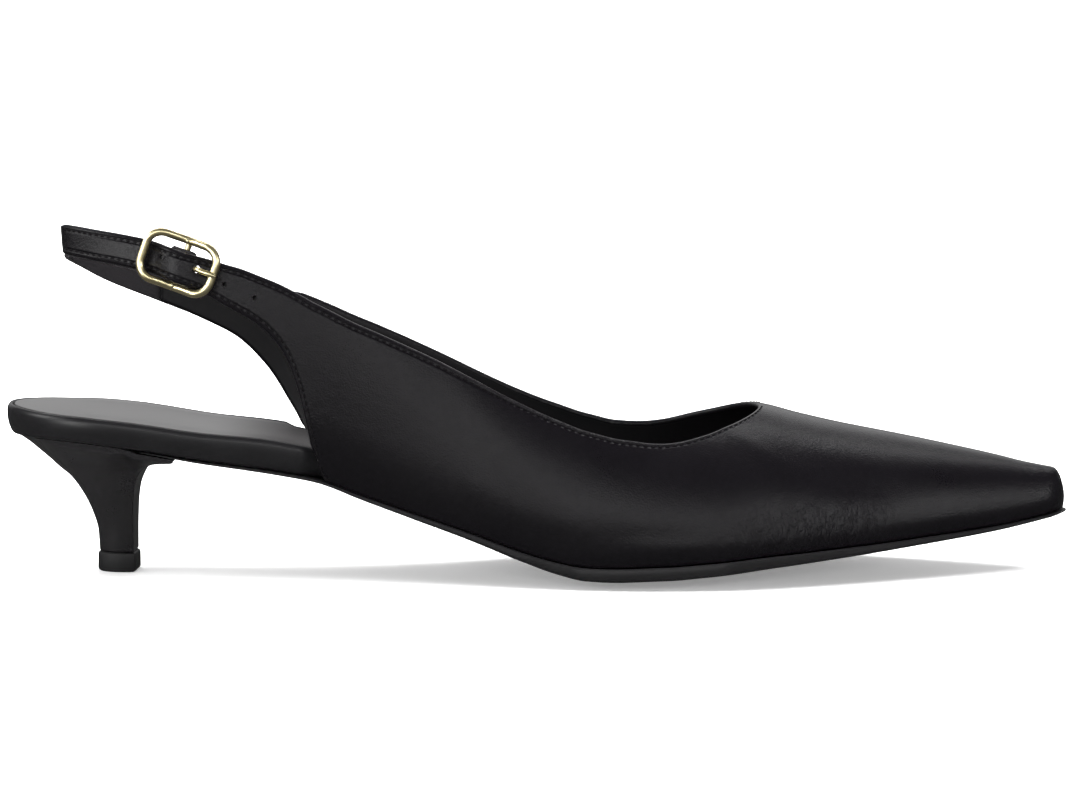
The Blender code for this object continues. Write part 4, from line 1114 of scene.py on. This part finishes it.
def build_top_piece():
    rings = []
    levels = ((-0.0006, 0.0), (-0.0002, 0.0002), (0.0, 0.0007), (0.0, 0.0041), (-0.0001, 0.0046),
              (-0.0005, TOP_PIECE_HEIGHT))
    middle = Vector((TOP_PIECE_BACK + TOP_PIECE_LENGTH / 2, 0.0))
    for grow, z in levels:
        side = heel_side(TOP_PIECE_BACK - grow, TOP_PIECE_BACK + TOP_PIECE_LENGTH + grow,
                         TOP_PIECE_WIDTH / 2 + grow, 40)
        rings.append(placed(turned(x, y, middle, HEEL_TURN, z) for x, y in breast_ring(side, 10)))
    return closed(rings)


# Strap and buckle

def strap_section(turn, offset):
    side = -1 if turn > 0 else 1
    s = LOOP_BACK + LOOP_LENGTH * (1 - math.cos(turn))
    x, y = loop_point(side, s, offset + STRAP_LEAN * STRAP_WIDTH / 2)
    far_x, far_y = loop_point(side, s, offset + 1.0)
    flat_out = Vector((far_x - x, far_y - y, 0.0)).normalized()
    rise = Vector((0.0, 0.0, 1.0)) - flat_out * STRAP_LEAN
    out = (flat_out + Vector((0.0, 0.0, STRAP_LEAN))).normalized()
    return Vector((x, y, strap_low(turn))), out, rise


def tail_middle(s):
    at = s / SHOE_LENGTH
    low = between(OUTER_EDGE, "low_at", "low", at)
    top = between(OUTER_EDGE, "top_at", "top", at)
    return seam(s) + STRAP_HEIGHT * (low + top) / 2


def buckle_frame_axes():
    reach = BUCKLE_LENGTH / 2
    ends = []
    for s in (BUCKLE_AT - reach, BUCKLE_AT, BUCKLE_AT + reach):
        x, y = loop_point(-1, s, 0.0)
        ends.append(Vector((x, y, tail_middle(s))))
    along = (ends[2] - ends[0]).normalized()
    flat_out = Vector((along.y, -along.x, 0.0)).normalized()
    lean = Vector((0.0, 0.0, 1.0)) - flat_out * STRAP_LEAN
    up = (lean - along * lean.dot(along)).normalized()
    return ends[1] + up * BUCKLE_LIFT, along.cross(up), along, up


def ribbon_ring(low, normal, rise, half):
    """Cross-section of the strap with its two long edges turned over."""
    bottom = low + rise * half
    top = low + rise * (STRAP_WIDTH - half)
    ring = []
    for end, other, sign in ((top, bottom, half), (bottom, top, -half)):
        for k in range(7):
            turn = math.pi * k / 6
            ring.append(end + (normal * math.cos(turn) + rise * math.sin(turn)) * sign)
        ring += [end.lerp(other, k / 6) - normal * sign for k in range(1, 6)]
    return ring


def out_of(slope, up):
    normal = slope.cross(up).normalized()
    return normal if normal.y < 0 else -normal


def build_strap():
    lap, bar = loop_turns()
    middle, out, along, up = buckle_frame_axes()
    middle = middle + out * BAR_OUT
    loop_radius = BAR / 2 + GAP + STRAP_THICKNESS / 2
    back_off = STRAP_THICKNESS + GAP
    last = bar - FOLD_FROM
    sections = [strap_section(-lap + (last + lap) * k / 150, 0.0) for k in range(151)]
    for t, n in ((-2.6, 0.45), (-1.5, 1.15)):
        place = middle + along * t * loop_radius / 1.5 + out * n * loop_radius / 1.5
        slope = (along * 1.1 + out * 0.7).normalized()
        sections.append((place - up * STRAP_WIDTH / 2, out_of(slope, up), up))
    for k in range(19):
        turn = math.radians(110 - 200 * k / 18)
        way = along * math.cos(turn) + out * math.sin(turn)
        sections.append((middle + way * loop_radius - up * STRAP_WIDTH / 2, way, up))
    for k in range(1, 11):
        spread = math.hypot(LOOP_LENGTH * math.sin(bar), FOLD_SPREAD)
        turn = bar - FOLD_BACK - FOLD_RETURN * k / 10 / spread
        depth = loop_radius + (back_off - loop_radius) * min(1.0, k / 4)
        low, outward_way, rise = strap_section(turn, -depth)
        sections.append((low, -outward_way, rise))
    rings = [placed(ribbon_ring(low, normal, rise, STRAP_THICKNESS / 2))
             for low, normal, rise in sections]
    strap = closed(rings)
    begin()
    bpy.ops.mesh.primitive_cube_add(size=1.0)
    slot = bpy.context.object
    ways = [way * size for way, size in zip((along, up, out), PRONG_SLOT)]
    frame_turn = Matrix(ways).transposed().to_4x4()
    frame_turn.translation = middle - out * BAR_OUT + PLACE
    slot.data.transform(frame_turn)
    edit(slot, outward)
    carve(strap, slot)
    return strap


def tube_rings(path, radius, sides, closed_path=False):
    """Rings of a round wire along a path, with one radius or a radius for each point."""
    rings = []
    count = len(path)
    side_way = None
    for k, point in enumerate(path):
        before = path[(k - 1) % count] if closed_path else path[max(0, k - 1)]
        after = path[(k + 1) % count] if closed_path else path[min(count - 1, k + 1)]
        way = (after - before).normalized()
        if side_way is None:
            side_way = way.orthogonal().normalized()
        side_way = (side_way - way * side_way.dot(way)).normalized()
        other = way.cross(side_way)
        size = radius[k] if isinstance(radius, list) else radius
        rings.append([point + PLACE + (side_way * math.cos(2 * math.pi * j / sides)
                                       + other * math.sin(2 * math.pi * j / sides)) * size
                      for j in range(sides)])
    return rings


def build_buckle():
    middle, out, along, up = buckle_frame_axes()
    long_half = BUCKLE_LENGTH / 2 - WIRE / 2
    wide_half = BUCKLE_WIDTH / 2 - WIRE / 2
    ends = STRAP_THICKNESS / 2 + LAP_GAP + GAP + WALL + WIRE / 2
    plan = []
    for sign_t, sign_w, first in ((1, 1, 0), (-1, 1, 90), (-1, -1, 180), (1, -1, 270)):
        for k in range(13):
            turn = math.radians(first + 90 * k / 12)
            plan.append((sign_t * (long_half - BUCKLE_CORNER) + BUCKLE_CORNER * math.cos(turn),
                         sign_w * (wide_half - BUCKLE_CORNER) + BUCKLE_CORNER * math.sin(turn)))
        if first in (0, 180):
            reach = long_half - BUCKLE_CORNER
            for k in range(1, 16):
                plan.append((sign_t * (reach - 2 * reach * k / 16), sign_w * wide_half))
    bowed = long_half - BUCKLE_CORNER / 2
    path = []
    for t, w in plan:
        n = ends - BUCKLE_BOW * math.cos(math.pi / 2 * min(1.0, abs(t) / bowed)) ** 2
        path.append(middle + along * t + out * n + up * w)
    rings = tube_rings(path, WIRE / 2, 20, True)
    first = rings[0]
    last = rings[-1]
    shift = min(range(20), key=lambda j: (first[j] - last[0]).length)
    rings.append(first[shift:] + first[:shift])
    frame_piece = closed(rings, ends=False)
    bar_middle = middle + out * BAR_OUT
    bar_path = [bar_middle + up * wide_half * share / 10 for share in range(-10, 11)]
    bar = closed(tube_rings(bar_path, BAR / 2, 16))
    pieces = [bar]
    for sign in (-1, 1):
        begin()
        place = middle + up * sign * (wide_half - 0.0002) + out * (ends - BUCKLE_BOW + 0.0007) + PLACE
        bpy.ops.mesh.primitive_uv_sphere_add(segments=16, ring_count=10, radius=0.00062,
                                             location=place)
        pieces.append(bpy.context.object)
    for piece in pieces:
        modify(frame_piece, "BOOLEAN", operation="UNION", solver="EXACT", object=piece)
        bpy.data.objects.remove(piece, do_unlink=True)
    return frame_piece


def build_prong():
    middle, out, along = buckle_frame_axes()[:3]
    radius = PRONG / 2
    ring = BAR / 2 + GAP / 2 + radius
    rest = STRAP_THICKNESS / 2 + LAP_GAP + 2 * GAP + WALL + WIRE + radius
    hole = PRONG_HOLE_AT
    under = STRAP_THICKNESS / 2 + LAP_GAP + radius / 2
    over = under + tail_rise(BUCKLE_AT + hole) + WALL
    pin = []
    for k in range(21):
        turn = math.radians(380 - 300 * k / 20)
        pin.append((ring * math.cos(turn), BAR_OUT + ring * math.sin(turn)))
    pin += [(ring, BAR_OUT + ring * 0.8), (hole - 0.0017, under), (hole - 0.0007, under)]
    pin += [(hole - 0.0001, under + 0.0008), (hole, over - 0.0002), (hole + 0.0005, over + WIRE / 2)]
    pin += [(hole + 0.0016, rest - 0.0002), (BUCKLE_LENGTH / 2 - WIRE, rest)]
    pin += [(BUCKLE_LENGTH / 2 + 0.0003, rest - 0.0001)]
    places = [middle + along * t + out * n for t, n in pin]
    path, sizes = [], []
    for k in range(len(places) - 1):
        for step in range(3):
            path.append(places[k].lerp(places[k + 1], step / 3))
            sizes.append(radius)
    path.append(places[-1])
    sizes.append(radius)
    for _ in range(2):
        eased = [(a + 2 * b + c) / 4 for a, b, c in zip(path, path[1:], path[2:])]
        path = [path[0]] + eased + [path[-1]]
    sizes[-1] = radius * 0.55
    sizes[-2] = radius * 0.9
    sizes[0] = radius * 0.6
    return closed(tube_rings(path, sizes, 14))


def tail_outside(distance):
    """A place on the tail's outside, on its middle line, at a distance from the bar."""
    middle, out, along = buckle_frame_axes()[:3]
    wall = STRAP_THICKNESS / 2 + LAP_GAP + WALL
    if abs(distance) < TAIL_RISE_LENGTH:
        return middle + along * distance + out * (wall + tail_rise(BUCKLE_AT + distance))
    s = middle.x + along.x * distance
    x, y = loop_point(-1, s, wall)
    blend = smooth(s, TIE_START, TIE_END)
    share = min(0.95, (tail_middle(s) - seam(s)) / ridge_height(s))
    return Vector((x + (s - x) * blend, y + (centre(s) - wall_y(-1, s, share) - y) * blend,
                   tail_middle(s)))


def punch_holes(upper):
    """The prong's hole right through the tail, and the row of pinholes in its face."""
    out = buckle_frame_axes()[1]
    cutters = []
    for distance, size, depth in HOLES:
        begin()
        bpy.ops.mesh.primitive_cylinder_add(vertices=20, radius=size / 2, depth=2 * depth)
        cutter = bpy.context.object
        turn = Vector((0, 0, 1)).rotation_difference(out).to_matrix().to_4x4()
        turn.translation = tail_outside(distance) + PLACE
        cutter.data.transform(turn)
        cutters.append(cutter)
    carve(upper, joined(cutters))


# Holes in the tail: distance from the bar, diameter and depth on each side of the surface
PINHOLE, PINHOLE_DEPTH = 0.0011, 0.0009
HOLES = ((PRONG_HOLE_AT + 0.0002, 0.0018, 0.006), (-0.0047, PINHOLE, PINHOLE_DEPTH),
         (0.0117, PINHOLE, PINHOLE_DEPTH), (0.0193, PINHOLE, PINHOLE_DEPTH))

upper, lines = build_upper()
punch_holes(upper)
dress(upper, "upper_leather", leather, "upper", 50)
dress(build_stitches(edge_paths(lines)), "seam_stitches", thread, None)
dress(build_strap(), "sling_strap", strap_leather, "heel_strap")
dress(build_insole(), "rand_insole", rand_finish, "insole", 50)
dress(build_sock(), "satin_sock", sock_finish, "sock_lining", 50)
dress(build_outsole(), "outsole_plate", sole_finish, "outsole", 35)
dress(build_heel(), "heel_block", cover_finish, "heel", 45)
dress(build_top_piece(), "heel_tip", rubber, "top_piece", 35)
dress(build_buckle(), "buckle_rim", gold, "buckle_frame", 50)
dress(build_prong(), "buckle_pin", gold, "buckle_prong", 60)


# Studio

def build_studio():
    """A pale floor that curves up into a wall behind the shoe, kept out of the reflections."""
    begin()
    bpy.ops.mesh.primitive_grid_add(x_subdivisions=2, y_subdivisions=30, size=1.0)
    floor = bpy.context.object
    for vert in floor.data.vertices:
        t = vert.co.y + 0.5
        y = -3.0 + 7.0 * min(1.0, t / 0.6)
        z = 0.0
        if t > 0.6:
            turn = min(1.0, (t - 0.6) / 0.3) * math.pi / 2
            y = 4.0 + 1.5 * math.sin(turn)
            z = 1.5 * (1 - math.cos(turn)) + max(0.0, t - 0.9) * 30
        vert.co = Vector((vert.co.x * 12.0, y, z))
    settle(floor, "studio_floor", floor_finish())
    soften(floor, 60)
    floor.visible_glossy = False


def aimed(name, data, place, aim, roll=0.0):
    """A light or the camera, set in its place and turned to what it is aimed at."""
    thing = bpy.data.objects.new(name, data)
    bpy.context.collection.objects.link(thing)
    thing.location = place
    thing.rotation_euler = (Vector(aim) - Vector(place)).to_track_quat("-Z", "Y").to_euler()
    thing.rotation_euler.rotate_axis("Z", roll)
    return thing


def area_light(name, place, aim, size, size_y, power, roll=0.0):
    data = bpy.data.lights.new(name, "AREA")
    data.shape = "RECTANGLE"
    data.size = size
    data.size_y = size_y
    data.energy = power
    return aimed(name, data, place, aim, roll)


build_studio()
area_light("front_strip", (-0.20, -1.60, 0.57), (0.0, 0.0, 0.03), 1.6, 0.18, 7.0, -0.21)
area_light("right_strip", (1.25, -1.15, 0.53), (0.05, 0.0, 0.03), 1.4, 0.20, 8.0)
area_light("back_panel", (0.0, 2.5, 0.95), (0.0, 0.0, 0.40), 4.0, 1.4, 14.0)
area_light("top_softbox", (0.10, 0.10, 1.30), (0.0, 0.0, 0.0), 2.2, 1.6, 85.0).visible_glossy = False
area_light("left_panel", (-1.05, -0.95, 0.26), (0.0, 0.0, 0.05), 0.6, 0.5, 7.0)
area_light("left_softbox", (-1.20, -0.20, 0.70), (0.0, 0.0, 0.05), 0.5, 0.5, 7.0)
area_light("wall_wash", (0.0, 1.2, 2.2), (0.0, 4.3, 0.2), 3.0, 1.0, 330.0)

world = bpy.data.worlds.new("studio_air")
world.use_nodes = True
background = world.node_tree.nodes["Background"]
background.inputs["Color"].default_value = (1.0, 1.0, 1.0, 1.0)
background.inputs["Strength"].default_value = 0.08
bpy.context.scene.world = world
bpy.context.scene.view_settings.view_transform = "Standard"
bpy.context.scene.view_settings.look = "None"

AIM = Vector((0.0004, 0.0, 0.0413))
DISTANCE = 1.0
RISE = math.radians(6.3)
camera_data = bpy.data.cameras.new("camera")
camera_data.sensor_width = 36.0
camera_data.lens = 134.67
camera_data.clip_start = 0.05
camera_data.clip_end = 100.0
STAND = AIM + Vector((0.0, -math.cos(RISE), math.sin(RISE))) * DISTANCE
bpy.context.scene.camera = aimed("camera", camera_data, STAND, AIM)
